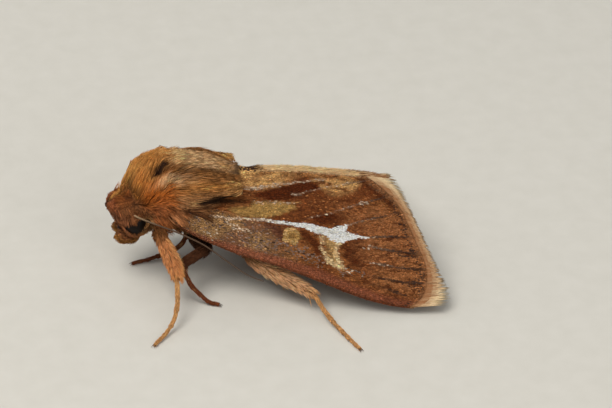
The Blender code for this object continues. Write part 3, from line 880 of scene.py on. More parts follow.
# Painted shadow that the shoulder pad casts on the wing's root.
PAD_SHADE = ((0.08, 0.51, 0.10), (0.13, 0.475, 0.14), (0.19, 0.45, 0.13), (0.26, 0.43, 0.05))
GOLDEN_REAR = ((0.64, 0.10, 0.30), (0.70, 0.15, 0.50), (0.78, 0.10, 0.45))
DARK_CORNER = ((0.84, 0.07, 0.12), (0.87, 0.13, 0.20), (0.90, 0.20, 0.18), (0.93, 0.28, 0.08))
DARK_DASHES = (
    ((0.86, 0.66, 0.05), (0.91, 0.655, 0.14), (0.94, 0.65, 0.05)),
    ((0.84, 0.85, 0.08), (0.89, 0.85, 0.12), (0.93, 0.85, 0.05)),
    ((0.92, 0.46, 0.05), (0.945, 0.46, 0.12)),
)
COSTAL_BAND = (
    (0.0, 0.98), (0.15, 0.955), (0.2, 0.94), (0.4, 0.915), (0.5, 0.905), (0.6, 0.92), (0.8, 0.96)
)
VEINS = (
    ((0.52, 0.50), (0.64, 0.40), (0.77, 0.29), (0.94, 0.18)),
    ((0.71, 0.46), (0.86, 0.36), (0.96, 0.30)),
    ((0.77, 0.54), (0.83, 0.52), (0.97, 0.50)),
    ((0.76, 0.61), (0.81, 0.62), (0.97, 0.64)),
    ((0.74, 0.74), (0.84, 0.745), (0.96, 0.75)),
    ((0.72, 0.84), (0.84, 0.85), (0.95, 0.85)),
    ((0.30, 0.60), (0.50, 0.555), (0.70, 0.56)),
    ((0.12, 0.52), (0.45, 0.33), (0.88, 0.06)),
    ((0.10, 0.88), (0.50, 0.88), (0.84, 0.93)),
)
VEIN_WIDTH = 0.035


def membrane_end(across):
    """How far along the membrane itself reaches, inside the fringe and rounder at its corners."""
    tornus = np.maximum(0.35 - across, 0.0) / 0.35
    apex = np.maximum(across - 0.65, 0.0) / 0.35
    return 0.965 - 0.10 * tornus**2 - 0.085 * apex**2


def wing_plane(along, across):
    """The forewing laid flat: millimetres along and millimetres down from the ridge."""
    y = FOREWING_ROOT + (termen(across) - FOREWING_ROOT) * along
    half_width, low = curves(COSTA, y)
    drop = ridge_height(y) - low
    return np.stack([y - FOREWING_ROOT, across * np.hypot(half_width, drop)], -1)


def mark(plane, row, soft=0.06):
    """How much each place is inside a mark, 0 to 1, with an edge soft millimetres wide."""
    row = np.asarray(row, float)
    knots = wing_plane(row[:, 0], row[:, 1])
    inside = np.full(plane.shape[:-1], -9.0)
    for start, end, first, last in zip(knots, knots[1:], row[:, 2], row[1:, 2]):
        span = end - start
        share = np.clip(((plane - start) @ span) / (span @ span), 0.0, 1.0)
        distance = np.linalg.norm(plane - start - share[..., None] * span, axis=-1)
        inside = np.maximum(inside, first + (last - first) * share - distance)
    return smooth(-soft, soft, inside)


def vein_share(plane, width, soft=0.03):
    """1 within width of a vein, fading to 0 over the soft distance beyond."""
    total = np.zeros(plane.shape[:-1])
    for vein in VEINS:
        row = [(along, across, width) for along, across in vein]
        total = np.maximum(total, mark(plane, row, soft))
    return total


def speckle(plane, size, seed, stretch=1.0):
    """Noise over the wing laid flat, its blotches drawn out along the wing by stretch."""
    return noise(np.stack([plane[..., 0], plane[..., 1] * stretch, 0 * plane[..., 0]], -1), size, seed)


def shaken(plane, size, seed, far):
    """The flat wing's places moved by up to far, so that a mark's edge comes out uneven."""
    return plane + far * np.stack([speckle(plane, size, seed), speckle(plane, size, seed + 1)], -1)


class WingPaint:
    """The forewing's colour at each place, laid on in layers.

    chance, 0 to 1 at each place, says which scale of a mixed patch lies there.
    """

    def __init__(self, along, across, chance):
        self.along, self.across, self.chance = along, across, chance
        self.plane = wing_plane(along, across)
        self.ragged = shaken(self.plane, 0.20, 21, 0.06)
        self.crisp = shaken(self.plane, 0.10, 25, 0.025)
        self.broad = speckle(self.plane, 1.0, 23)
        self.streaky = speckle(self.plane, 0.36, 24, 2.6)
        self.fine = speckle(self.plane, 0.15, 27, 3.0)
        self.front = smooth(0.50, 0.30, along) * smooth(0.56, 0.66, across)
        self.colour = GROUND

    def blend(self, other, share):
        """Lays a colour over what is there."""
        self.colour = mix(self.colour, other, share)

    def pick(self, other, share):
        """Gives a colour to that share of the scales."""
        self.colour = np.where((share > self.chance)[..., None], other, self.colour)

    def both(self, other, blended, picked):
        self.blend(other, blended)
        self.pick(other, picked)

    def rub(self, other, rows, share, soft):
        """Blends a colour into marks."""
        for row in rows:
            self.blend(other, share * mark(self.ragged, row, soft))

    def fleck(self, other, rows, share, soft):
        """Gives a colour to a share of the scales in marks."""
        for row in rows:
            self.pick(other, share * mark(self.ragged, row, soft))


def paint_ground(wing):
    """Mottled brown, greyer towards the front and golden along the back, with a painted highlight along
    the ridge.
    """
    along, across, broad, streaky = wing.along, wing.across, wing.broad, wing.streaky
    wing.blend(GROUND_LIGHT, np.clip(0.45 + 0.6 * streaky + 0.35 * broad, 0, 1))
    wing.blend(GROUND_DARK, np.clip(-0.2 - 0.8 * streaky - 0.5 * wing.fine, 0, 0.7))
    redder = np.clip(0.5 - 0.9 * broad + 0.5 * streaky, 0, 0.7)
    wing.blend(RED_GROUND, redder * smooth(0.25, 0.45, along))
    wing.pick(GROUND_PALE, 0.05)
    wing.blend(mix(GROUND_FRONT, OCHRE, np.clip(0.2 + 1.1 * broad, 0, 0.8)), 0.75 * wing.front)
    for other, share in ((GREY_SCALE, 0.30), (PAD_PALE, 0.16), (GREY_DARK, 0.10)):
        wing.pick(other, share * wing.front)
    dorsal = smooth(0.30, 0.16, across + 0.20 * smooth(0.40, 0.62, along)) * smooth(0.72, 0.62, along)
    wing.blend(DORSAL, dorsal * np.clip(0.75 + 0.6 * streaky, 0.2, 1))
    golden = mark(wing.ragged, GOLDEN_REAR, 0.25)
    wing.blend(DORSAL, np.clip(0.55 + 0.6 * streaky, 0.1, 0.9) * golden)
    # Painted highlight along the rear part of the ridge, where the wings meet.
    ridge = smooth(0.055, 0.02, across)
    wing.blend(RIDGE_HIGHLIGHT, 0.95 * ridge * smooth(0.36, 0.42, along))
    wing.pick(GREY_DARK, 0.7 * ridge * smooth(0.42, 0.36, along))


def paint_dark_marks(wing):
    wing.rub(DEEP, (DARK_STREAK,), 0.97, 0.10)
    wing.rub(DEEP, DARK_MARKS, 0.9, 0.12)
    wing.rub(GROUND_DARK, (DARK_CORNER,), 0.7, 0.12)
    wing.rub(OCHRE, (OCHRE_BAND,), 0.95, 0.12)
    # Painted shadow of the shoulder pad on the wing's root.
    wing.rub(SHADE, (PAD_SHADE,), 0.9, 0.10)


def paint_veins(wing):
    """Paler cells between the veins of the rear, dark veins there and pale ones before them."""
    along, across, streaky = wing.along, wing.across, wing.streaky
    rear = smooth(0.62, 0.80, along) * smooth(0.97, 0.90, across)
    cells = 1 - vein_share(wing.plane, 0.03, 0.20)
    lighter = rear * np.clip(0.6 * cells + 0.55 * streaky + 0.4 * wing.fine, 0, 0.8)
    wing.blend(CELL, lighter * smooth(0.24, 0.34, across))
    veins = vein_share(wing.crisp, 1.3 * VEIN_WIDTH)
    dark = np.clip(veins * (1.1 + 0.6 * streaky), 0, 1) * smooth(0.68, 0.82, along)
    wing.both(GREY_DARK, 0.8 * dark, 0.3 * dark)
    pale = veins * smooth(0.90, 0.74, along) * smooth(0.5, 0.62, along) * smooth(0.80, 0.74, across)
    wing.both(GREY_PALE, 0.25 * pale, 0.25 * pale)
    wing.blend(GREY_SCALE, 0.3 * wing.front)
    wing.fleck(GREY_DARK, GREY_BANDS, 0.40, 0.2)
    wing.fleck(GREY_SCALE, GREY_BANDS, 0.35, 0.2)
    wing.fleck(GREY_DARK, DARK_DASHES, 0.4, 0.08)


def paint_costa(wing):
    edge = np.interp(wing.along, *np.transpose(COSTAL_BAND))
    wing.blend(COSTA_ROSE, 0.9 * smooth(-0.03, 0.02, wing.across - edge))
    wing.blend(GROUND_DARK, 0.75 * smooth(0.975, 0.995, wing.across))


def paint_spots(wing):
    """The kidney mark and the ring spot before it."""
    wing.rub(mix(OCHRE, BUFF, 0.55), (KIDNEY,), 0.85, 0.12)
    wing.rub(GROUND_DARK, (KIDNEY_CORE,), 0.6, 0.10)
    for row in KIDNEY_RIM:
        rim = 0.6 * mark(wing.ragged, row, 0.09)
        wing.both(CREAM, rim, rim)
    centre = wing_plane(np.array(RING_SPOT[0]), np.array(RING_SPOT[1]))
    from_centre = np.linalg.norm((wing.ragged - centre) / np.array(RING_SPOT[2:]), axis=-1)
    wing.blend(OCHRE, 0.9 * smooth(1.05, 0.85, from_centre))
    wing.blend(GROUND_DARK, 0.45 * smooth(0.55, 0.25, from_centre))
    ring = smooth(0.35, 0.60, from_centre) * smooth(1.12, 0.95, from_centre)
    wing.pick(BUFF, np.clip(0.5 + 0.6 * wing.streaky, 0, 0.9) * ring)


def paint_pale_marks(wing):
    """The pale lines and flecks, and over them the white antler mark."""
    for row in (SUBDORSAL, STREAK_FLECK):
        line = mark(wing.ragged, row, 0.06)
        wing.both(GREY_PALE, 0.35 * line, 0.40 * line)
    line = mark(wing.ragged, OCHRE_LINE, 0.08)
    wing.blend(BUFF, 0.4 * line)
    wing.pick(GREY_PALE, 0.35 * line)
    wing.fleck(GREY_PALE, PALE_FLECKS, 0.5, 0.08)
    solid = smooth(0.30, 0.46, wing.along)
    white = mix(STEM, WHITE, solid)
    for row in WHITE_MARK:
        inside = mark(wing.crisp, row, 0.035)
        wing.both(white, 0.4 * inside, (0.55 + 0.45 * solid) * inside)


def paint_edge(wing):
    """Dark dots before the fringe, and the fringe's own brown."""
    at_edge = wing.along / membrane_end(wing.across) + 0.012 * wing.streaky
    corner = 0.05 * smooth(0.30, 0.05, wing.across)
    wing.pick(GREY_DARK, 0.3 * smooth(0.94, 0.965, at_edge) * smooth(0.99, 0.975, at_edge))
    wing.blend(FRINGE_INNER, 0.9 * smooth(0.965 - corner, 1.0, at_edge))


def forewing_colour(along, across, chance):
    """The forewing's markings at each place, with painted shadow under the shoulder pad and a painted
    highlight along the ridge, in the order they lie over each other.
    """
    wing = WingPaint(along, across, chance)
    paint_ground(wing)
    paint_dark_marks(wing)
    paint_veins(wing)
    paint_costa(wing)
    paint_spots(wing)
    paint_pale_marks(wing)
    paint_edge(wing)
    return wing.colour * (1 + 0.22 * wing.fine)[..., None]


def underwing_colour(along, across):
    plane = wing_plane(along, across)
    return layered(
        UNDERSIDE,
        (GREY_DARK, np.clip(0.30 + 0.35 * speckle(plane, 0.9, 31), 0, 1)),
        (COSTA_ROSE, 0.6 * smooth(0.88, 0.97, across)),
        (GREY_DARK, 0.5 * vein_share(plane, VEIN_WIDTH)),
    )


# ---------------------------------------------------------------- materials


def new_material(name, roughness, specular):
    material = bpy.data.materials.new(name)
    material.use_nodes = True
    shader = material.node_tree.nodes["Principled BSDF"]
    shader.inputs["Roughness"].default_value = roughness
    shader.inputs["Specular IOR Level"].default_value = specular
    return material, material.node_tree, shader


def link(tree, *links):
    """Joins sockets, each link given as a node, its output, the next node and its input."""
    for start, output, end, target in links:
        tree.links.new(start.outputs[output], end.inputs[target])


def add_node(tree, kind, **settings):
    """A node with its settings: those named after a socket go to the socket."""
    node = tree.nodes.new(kind)
    for key, value in settings.items():
        label = key.replace("_", " ").title()
        if label in node.inputs:
            node.inputs[label].default_value = value
        else:
            setattr(node, key, value)
    return node


def tinted_material(name, roughness, specular, mottle_size, mottle, bump=0.0):
    """Colours from the piece's own tint, mottled finely, with a bump at the mottling's scale."""
    material, tree, shader = new_material(name, roughness, specular)
    tint = add_node(tree, "ShaderNodeVertexColor", layer_name="tint")
    place = add_node(tree, "ShaderNodeTexCoord")
    blotch = add_node(tree, "ShaderNodeTexNoise", scale=1 / (mottle_size * MM), detail=3.0)
    levels = add_node(tree, "ShaderNodeMapRange", from_min=0.25, from_max=0.75)
    levels.inputs["To Min"].default_value = 1.0 - mottle
    levels.inputs["To Max"].default_value = 1.0 + mottle
    shade = add_node(tree, "ShaderNodeVectorMath", operation="SCALE")
    link(
        tree,
        (place, "Object", blotch, "Vector"),
        (blotch, "Fac", levels, "Value"),
        (tint, "Color", shade, 0),
        (levels, "Result", shade, "Scale"),
        (shade, "Vector", shader, "Base Color"),
    )
    if bump:
        add_relief(tree, shader, (blotch, "Fac"), bump, mottle_size * 0.6)
    return material


def add_relief(tree, shader, pattern, strength, depth):
    """A bump, depth millimetres high, of a pattern given as a node and its output."""
    relief = add_node(tree, "ShaderNodeBump", strength=strength, distance=depth * MM)
    link(tree, (*pattern, relief, "Height"), (relief, "Normal", shader, "Normal"))


def shaded_material(name, roughness, specular, dark, pale, pattern, pale_at=1.0, relief=()):
    """Colours from dark to pale by a texture, given as its node kind, its output and its settings."""
    material, tree, shader = new_material(name, roughness, specular)
    kind, output, settings = pattern
    place = add_node(tree, "ShaderNodeTexCoord")
    texture = add_node(tree, kind, **settings)
    colours = add_node(tree, "ShaderNodeValToRGB")
    for stop, colour, position in zip(colours.color_ramp.elements, (dark, pale), (0.0, pale_at)):
        stop.color = (*colour, 1)
        stop.position = position
    link(
        tree,
        (place, "Object", texture, "Vector"),
        (texture, output, colours, "Fac"),
        (colours, "Color", shader, "Base Color"),
    )
    if relief:
        add_relief(tree, shader, (texture, output), *relief)
    return material


def eye_material():
    """Near-black compound eye with a fine net of facets under a clear gloss."""
    net = {"scale": 1 / (FACET * MM), "feature": "DISTANCE_TO_EDGE"}
    facets = ("ShaderNodeTexVoronoi", "Distance", net)
    dark, pale = paint(10, 6, 4), paint(30, 19, 12)
    material = shaded_material("eye_facets", 0.45, 0.12, dark, pale, facets, 0.35, (0.5, 0.008))
    shader = material.node_tree.nodes["Principled BSDF"]
    shader.inputs["Coat Weight"].default_value = 0.04
    shader.inputs["Coat Roughness"].default_value = 0.15
    return material


def floor_material():
    grain = ("ShaderNodeTexNoise", "Fac", {"scale": 900.0, "detail": 4.0})
    return shaded_material("pale_floor", 0.85, 0.2, paint(206, 203, 194), paint(216, 213, 205), grain)


def plain_material(name, colour, roughness):
    """A brown shell with faint darker blotches and a fine bump."""
    blotches = ("ShaderNodeTexNoise", "Fac", {"scale": 1 / (SHELL_GRAIN * MM), "detail": 3.0})
    return shaded_material(name, roughness, 0.4, colour * 0.7, colour, blotches, relief=(0.3, 0.01))


# ---------------------------------------------------------------- skin


def leg_layout(place):
    """A leg's path keys and the distances of its knee, ankle and foot."""
    femur, tibia, tarsus = LEGS[place]
    keys = keyed_by_length(femur + tibia + tarsus)
    knee = keys[len(femur) - 1, 0]
    ankle = keys[len(femur) + len(tibia) - 1, 0]
    return keys, knee, ankle, keys[-1, 0]


def leg_radius(place, distance):
    """Skin radius of a leg: full femur, spindle tibia and a tarsus of five joints."""
    _, knee, ankle, foot = leg_layout(place)
    widest = TIBIA_SKIN[place.split("_")[0]]
    in_tibia = np.clip((distance - knee) / (ankle - knee), 0, 1)
    in_tarsus = np.clip((distance - ankle) / (foot - ankle), 0, 1)
    tibia = TARSUS_SKIN + (widest - TARSUS_SKIN) * np.sin(np.pi * (0.25 + 0.72 * in_tibia))
    joint = np.interp(in_tarsus, (0, 0.42, 0.62, 0.77, 0.88, 1.0), range(6))
    swell = 0.86 + 0.26 * (joint % 1.0) ** 2
    tarsus = (TARSUS_SKIN + (TARSUS_TIP - TARSUS_SKIN) * in_tarsus) * swell
    femur = FEMUR_SKIN * (0.75 + 0.35 * np.sin(np.pi * np.clip(distance / knee, 0, 1)))
    return np.where(distance > ankle, tarsus, np.where(distance > knee, tibia, femur))


def body_rings(sections, depth, rings, sides=40):
    y = np.linspace(sections[0][0] + depth * 0.8, sections[-1][0] - depth * 0.5, rings)
    turn = in_turn(sides)
    return body_point(sections, y[:, None], turn[None], -depth)


def trunk_rings(rings=120, sides=90):
    y = np.linspace(HEAD[0][0] + 0.12, THORAX[-1][0] - 0.1, rings)[:, None]
    turn = in_turn(sides)[None]
    reach = trunk_reach(y, turn) - coat_depth(y, side_turn(turn))
    return trunk_point(y, turn, np.maximum(reach, 0.05))


def make_skin():
    """One seamless skin for the head, collar, thorax, shoulder pads, abdomen, palps and legs."""
    parts = [loft_mesh(trunk_rings()), loft_mesh(body_rings(ABDOMEN, ABDOMEN_COAT, 40))]
    for side in (1.0, -1.0):
        palp = keyed_by_length(on_side(PALP_LEFT, side))
        distances = np.linspace(0, palp[-1, 0] - 0.05, 12)
        radii = np.interp(distances, PALP_AT, PALP_SKIN)
        parts.append(loft_mesh(tube_rings(palp, distances, radii, 12)))
    for place in LEGS:
        keys, _, _, foot = leg_layout(place)
        distances = np.linspace(0, foot, int(foot / 0.07))
        parts.append(loft_mesh(tube_rings(keys, distances, leg_radius(place, distances), 12)))
    obj = mesh_object("body_skin", *joined(parts))
    remesh = obj.modifiers.new("one skin", "REMESH")
    remesh.mode = "VOXEL"
    remesh.voxel_size = VOXEL
    soften = obj.modifiers.new("soften", "SMOOTH")
    soften.factor = 0.5
    soften.iterations = 2
    graph = bpy.context.evaluated_depsgraph_get()
    mesh = bpy.data.meshes.new_from_object(obj.evaluated_get(graph))
    obj.modifiers.clear()
    obj.data = mesh
    points = np.empty(len(mesh.vertices) * 3)
    mesh.vertices.foreach_get("co", points)
    set_colours(mesh, skin_colour(points.reshape(-1, 3)))
    mesh.shade_smooth()
    flesh = ["head", "collar", "thorax", "abdomen"]
    flesh += [f"{piece}_{side}" for piece in ("tegula", "palp") for side in ("left", "right")]
    flesh += [f"{piece}_{place}" for place in LEGS for piece in ("femur", "tibia", "tarsus")]
    material = tinted_material("skin", 0.7, 0.25, 0.12, 0.3, bump=0.5)
    return finish_piece(obj, material, flesh)


# ---------------------------------------------------------------- hair


def lie(y, side):
    """Which way hair lies at a place on the trunk: how much it runs back and how much it climbs."""
    angle = np.degrees(side)
    back, climb = np.ones_like(angle), np.zeros_like(angle)

    def blend(share, new_back, new_climb):
        nonlocal back, climb
        back = back * (1 - share) + new_back * share
        climb = climb * (1 - share) + new_climb * share

    spreading = 0.75 * smooth(0.8, -1.0, y) - 0.30 * smooth(1.0, 2.2, y)
    blend(smooth(76, 64, angle), 1.0, np.clip((angle - 34) / 50, -0.6, 0.6) * spreading)
    pad_edge = spline(TEGULA, y)[..., 0]
    blend(smooth(-0.4, 0.1, y) * smooth(pad_edge + 16, pad_edge + 4, angle), 1.0, 0.12)
    blend(smooth(0, -14, angle), 1.0, -0.45)
    collar = smooth(-0.8, -1.3, y)
    swirl = np.clip((angle - 12) / 20, -0.75, 1.05) * smooth(92, 62, angle)
    blend(collar, 0.75, swirl)
    head = 1 - on_collar(y, angle)
    blend(head, 0.9, -0.5)
    blend(head * smooth(-16, -4, angle), 0.3, -1.0)
    blend(head * smooth(28, 42, angle), -0.8, 0.2)
    blend(head * smooth(-3.35, -3.6, y), -0.35, -0.9)
    return back, climb


def traced(y, turn, length, steps):
    """Places along hairs that start at y and turn and follow the lie of the coat."""
    side_sign = np.where(np.cos(turn) >= 0, 1.0, -1.0)
    ys, turns = [y], [turn]
    stride = length / (steps - 1)
    for _ in range(steps - 1):
        back, climb = lie(y, side_turn(turn))
        speed = np.maximum(np.hypot(back, climb), 0.2)
        reach = np.maximum(trunk_reach(y, turn), 0.6)
        y = np.clip(y + stride * back / speed, HEAD[0][0] + 0.04, THORAX[-1][0] + 0.5)
        turn = turn + side_sign * stride * climb / speed / reach
        ys.append(y)
        turns.append(turn)
    return np.stack(ys, 1), np.stack(turns, 1)


def grow(coat, count, where, length, rise, width, lock, steps=4, draw=0.55, keep=None, **look):
    """Hairs rooted at random over where (low y, high y, low and high angle) on both sides.

    lock is how many hairs bend together, and draw how far; keep says how likely a place has hair.
    """
    rng = coat.rng
    low_y, high_y, low_angle, high_angle = where
    y = rng.uniform(low_y, high_y, count)
    turn = np.radians(rng.uniform(low_angle, high_angle, count))
    turn = np.where(rng.random(count) < 0.5, turn, math.pi - turn)
    if keep:
        kept = rng.random(count) < keep(y, side_turn(turn))
        y, turn = y[kept], turn[kept]
    lay(coat, y, turn, length, rise, width, lock, steps, draw, **look)


# root_shade darkens each hair towards its root, as painted shade deep in the coat.
def lay(
    coat, y, turn, length, rise, width, lock, steps, draw,
    end=9.0, stand=1.7, stray=0.03, lock_spread=0.13, spread=0.18, root_shade=0.42, tip_shade=1.25,
):
    """Hairs rooted in the trunk's skin at y and turn, rising to a share of the coat's depth."""
    rng = coat.rng
    length = rng.uniform(*length, len(y))
    length = np.minimum(length, end + rng.normal(0, 0.12, len(y)) - y)
    ys, turns = traced(y, turn, np.maximum(length, 0.25), steps)
    clear_of_eye = ~in_eye_opening(ys, side_turn(turns)).any(1)
    ys, turns = ys[clear_of_eye], turns[clear_of_eye]
    count = len(ys)
    s = np.linspace(0, 1, steps)
    lift = rng.uniform(*rise, count)[:, None]
    height = -ROOTED + (lift + ROOTED) * (1 - (1 - s) ** stand)
    depth = coat_depth(ys, side_turn(turns))
    reach = trunk_reach(ys, turns) - depth * (1 - height)
    clear = obstacle_reach(ys, turns) + 0.03 + 0.10 * lift * s
    reach = np.where(s > 0.2, np.maximum(reach, clear), reach)
    paths = trunk_point(ys, turns, reach)
    paths += rng.normal(0, stray, (count, 1, 3)) * s[None, :, None] ** 1.5
    paths, locks = into_locks(rng, paths, lock, draw)
    middle = steps // 2
    colours = trunk_colour(ys[:, middle], side_turn(turns[:, middle]), paths[:, middle])
    colours = varied(rng, colours * lock_tones(rng, locks, lock_spread), spread)
    bake = ((turns[:, 0] / TAU + 0.25) % 1.0, ys[:, 0])
    widths = width * rng.uniform(0.7, 1.2, count)
    coat.hairs(paths, widths, outward_at(turns), colours, (root_shade, tip_shade), bake)


def make_head_coat(material):
    """Crown tuft lying forwards, brow hair over the eyes, short face hair, cheeks and palps."""
    coat = Coat(101)
    mixed = {"spread": 0.24, "lock_spread": 0.2, "tip_shade": 1.4, "root_shade": 0.3}
    crown, brow = (-3.8, -2.5, 30, 90), (-3.3, -2.0, -12, 40)
    face, cheek = (-3.95, -3.1, -80, 70), (-3.3, -1.5, -90, -25)
    grow(coat, 3000, crown, (0.30, 0.60), (0.7, 1.15), 0.034, lock=9, stand=1.3, stray=0.045, **mixed)
    grow(coat, 1900, brow, (0.22, 0.42), (0.8, 1.2), 0.038, lock=7, stand=1.4)
    grow(coat, 2000, face, (0.16, 0.34), (0.5, 1.2), 0.030, lock=7, **mixed)
    grow(coat, 2300, cheek, (0.25, 0.55), (0.7, 1.3), 0.040, lock=8, stray=0.04)
    for side in (1.0, -1.0):
        add_palp_hairs(coat, side)
    return coat.piece("head_coat", material, "fur")


def add_palp_hairs(coat, side):
    """Shaggy hair along a palp, darker above with painted shade under the eye, in locks."""
    rng = coat.rng
    keys = keyed_by_length(on_side(PALP_LEFT, side))
    count = 1300
    start = rng.uniform(0.0, 1.2, count)
    turn = rng.uniform(0, TAU, count)
    length = rng.uniform(0.20, 0.55, count)
    radius = np.interp(start, PALP_AT, PALP_HAIR_ROOT)
    paths, outward = along_path(keys, start, length, turn, radius, rng.uniform(0.02, 0.24, count))
    paths += rng.normal(0, 0.05, (count, 1, 3)) * ALONG_HAIR[None, :, None] ** 1.5
    paths, locks = into_locks(rng, paths, 9, 0.6)
    tone = lock_tones(rng, locks, 0.25)
    # Darker on the upper side, as painted shade under the eye.
    colours = mix(PALP, FACE_DARK_AND_SHADE, 0.8 * smooth(-0.2, 0.5, np.sin(turn)))
    colours = varied(rng, mix(colours, colours * 0.6, rng.random(count)) * tone, 0.2)
    bake = ((0.45 if side > 0 else 0.95) + 0.04 * turn / math.pi, -2.4 - start)
    coat.hairs(paths, 0.04, outward, colours, (0.4, 1.4), bake)


def along_path(keys, start, length, turn, radius, lift):
    """Hair paths lying along a leg or palp, rising lift from its skin."""
    s = ALONG_HAIR
    distance = start[:, None] + length[:, None] * s
    centre, along, side, up = path_frame(keys, distance)
    over = np.maximum(distance - keys[-1, 0], 0.0)[..., None]
    turn = turn[:, None, None]
    out = side * np.cos(turn) + up * np.sin(turn)
    reach = radius[:, None] - 0.02 + (lift[:, None] + 0.02) * s**0.8
    return centre + along * over + out * reach[..., None], out


def outside_hollow(y, side):
    """How likely a place has hair, less so in the bare hollow."""
    return 1 - np.clip(1.3 * hollow(y, side), 0, 1)


def make_collar_coat(material):
    """The collar: dense fine hair swept up and back, its tips spilling over the thorax."""
    coat = Coat(202)
    ruff, spilling = (-2.92, -1.0, 0, 90), (-1.75, -1.0, 10, 90)
    grow(
        coat, 6400, ruff, (0.45, 0.85), (0.75, 1.05), 0.044, lock=11, stray=0.04, stand=1.4,
        keep=outside_hollow,
    )
    grow(
        coat, 1700, spilling, (0.8, 1.5), (0.85, 1.15), 0.046, lock=12, steps=5, stray=0.06,
        keep=outside_hollow, tip_shade=1.4,
    )
    return coat.piece("collar_coat", material, "fur")


def make_thorax_coat(material):
    """Long buff hair swept back over the thorax, in dark-tipped tufts at its rear."""
    coat = Coat(303)
    back, tufts = (-1.1, 2.2, 56, 90), (1.5, 2.3, 40, 90)
    grow(
        coat, 5900, back, (0.9, 1.5), (0.6, 1.05), 0.043, lock=22, steps=5, draw=0.6, stray=0.045,
        keep=outside_hollow, end=HAIR_END, lock_spread=0.12, root_shade=0.38, tip_shade=1.12,
    )
    grow(coat, 700, tufts, (0.4, 0.8), (0.7, 1.2), 0.055, lock=18, draw=0.75, end=HAIR_END + 0.05)
    return coat.piece("thorax_coat", material, "fur")


def make_pad_coat(name, side, material):
    """A shoulder pad: long hairs fanning back from its front, ending ragged over the wing."""
    coat = Coat(404)
    for count, low_y, high_y, lengths in ((3900, -1.25, 0.6, (1.3, 2.4)), (2300, 0.3, 2.1, (0.7, 1.4))):
        y = coat.rng.uniform(low_y, high_y, count)
        low, high, _ = curves(TEGULA, y)
        angle = low + 1 + (high - low + 4) * coat.rng.random(count)
        lay(
            coat, y, np.radians(angle), lengths, (0.55, 1.08), 0.042, lock=16, steps=5, draw=0.6,
            end=HAIR_END, stray=0.04, spread=0.25, lock_spread=0.24, tip_shade=1.5, root_shade=0.26,
        )
    return coat.piece(name, material, "fur", lambda points: on_side(points, side))


def make_flank_coat(material):
    """The stiff fan over each wing base, and the looser hair of the flanks and underside."""
    coat = Coat(505)
    fan, flank, fore_hips = (-1.8, -0.75, -30, 14), (-1.7, 2.3, -90, -25), (-2.1, -1.2, -42, -8)
    grow(coat, 2600, fan, (0.6, 1.1), (0.8, 1.1), 0.042, lock=9, stray=0.04)
    grow(coat, 3000, flank, (0.5, 1.0), (0.6, 1.3), 0.055, lock=10, stray=0.08)
    grow(coat, 700, fore_hips, (0.5, 0.9), (1.3, 2.4), 0.045, lock=8, stray=0.08)
    return coat.piece("flank_coat", material, "fur")


def make_abdomen_coat(material):
    """Short hair lying back along the abdomen, ending in a tail tuft."""
    coat = Coat(606)
    add_abdomen_hairs(coat, 3300, 1.9, 9.4, (0.4, 0.8), (0.3, 0.9), 0.075)
    add_abdomen_hairs(coat, 400, 8.9, 9.7, (0.5, 0.9), (0.5, 1.2), 0.060)
    return coat.piece("abdomen_coat", material, "belly")


def add_abdomen_hairs(coat, count, low, high, lengths, rises, width):
    rng = coat.rng
    y = rng.uniform(low, high, count)
    turn = rng.uniform(0, TAU, count)
    s = ALONG_HAIR
    ys = y[:, None] + rng.uniform(*lengths, count)[:, None] * s
    turns = turn[:, None] + rng.normal(0, 0.06, count)[:, None] * s
    height = -ROOTED + (rng.uniform(*rises, count)[:, None] + ROOTED) * (1 - (1 - s) ** 1.8)
    paths = body_point(ABDOMEN, ys, turns, -ABDOMEN_COAT * (1 - height))
    paths, _ = into_locks(rng, paths, 12, 0.5)
    colours = varied(rng, abdomen_colour(paths[:, -1]), 0.18)
    widths = width * rng.uniform(0.75, 1.25, count)
    coat.hairs(paths, widths, outward_at(turns), colours, (0.45, 1.15), (turn, y))


def leg_colour(place, share):
    """Orange near fore tibia, tan hind legs, and middle legs and far foreleg in a dark red-brown that is
    partly painted shade; middle thighs darker still as painted shade, the others brown near the body.
    """
    # The dark red-brown of the middle legs and the far foreleg is partly painted shade under the wing and
    # body.
    tibia, tarsus = {
        "front_left": (LEG_FOX, LEG),
        "front_right": (LEG_RED_AND_SHADE, LEG_RED_AND_SHADE),
        "mid_left": (LEG_SHADE, LEG_RED_AND_SHADE),
        "mid_right": (LEG_SHADE, LEG_RED_AND_SHADE),
        "hind_left": (LEG_PALE, LEG),
        "hind_right": (LEG_PALE, LEG),
    }[place]
    # The middle legs' thighs are a darker copy of their tibiae, as painted shade.
    thigh = tibia * 0.7 if place.startswith("mid") else HIP
    colour = mix(thigh, tibia, smooth(0.9, 1.25, share))
    return mix(colour, tarsus, smooth(1.8, 2.1, share))


def make_leg_coat(side, material):
    """Hair along the femora and tibiae, a fringe behind the tibiae, and small scales on the tarsi."""
    coat = Coat(606)
    for number, place in enumerate(("front", "mid", "hind")):
        full = f"{place}_{side}"
        _, knee, ankle, foot = leg_layout(full)
        thigh, shin, toes = (0.05, knee + 0.1), (knee - 0.45, ankle - 0.12), (ankle - 0.1, foot - 0.08)
        add_leg_hairs(coat, full, number, 600, thigh, (0.35, 0.7), (0.10, 0.26), 0.05)
        add_leg_hairs(coat, full, number, 1100, shin, (0.3, 0.6), (0.06, TIBIA_COAT[place]), 0.042)
        add_leg_hairs(coat, full, number, 800, toes, (0.12, 0.24), (0.012, 0.035), 0.036)
        add_fringe(coat, full, number)
    return coat.piece(f"leg_coat_{side}", material, "leg")


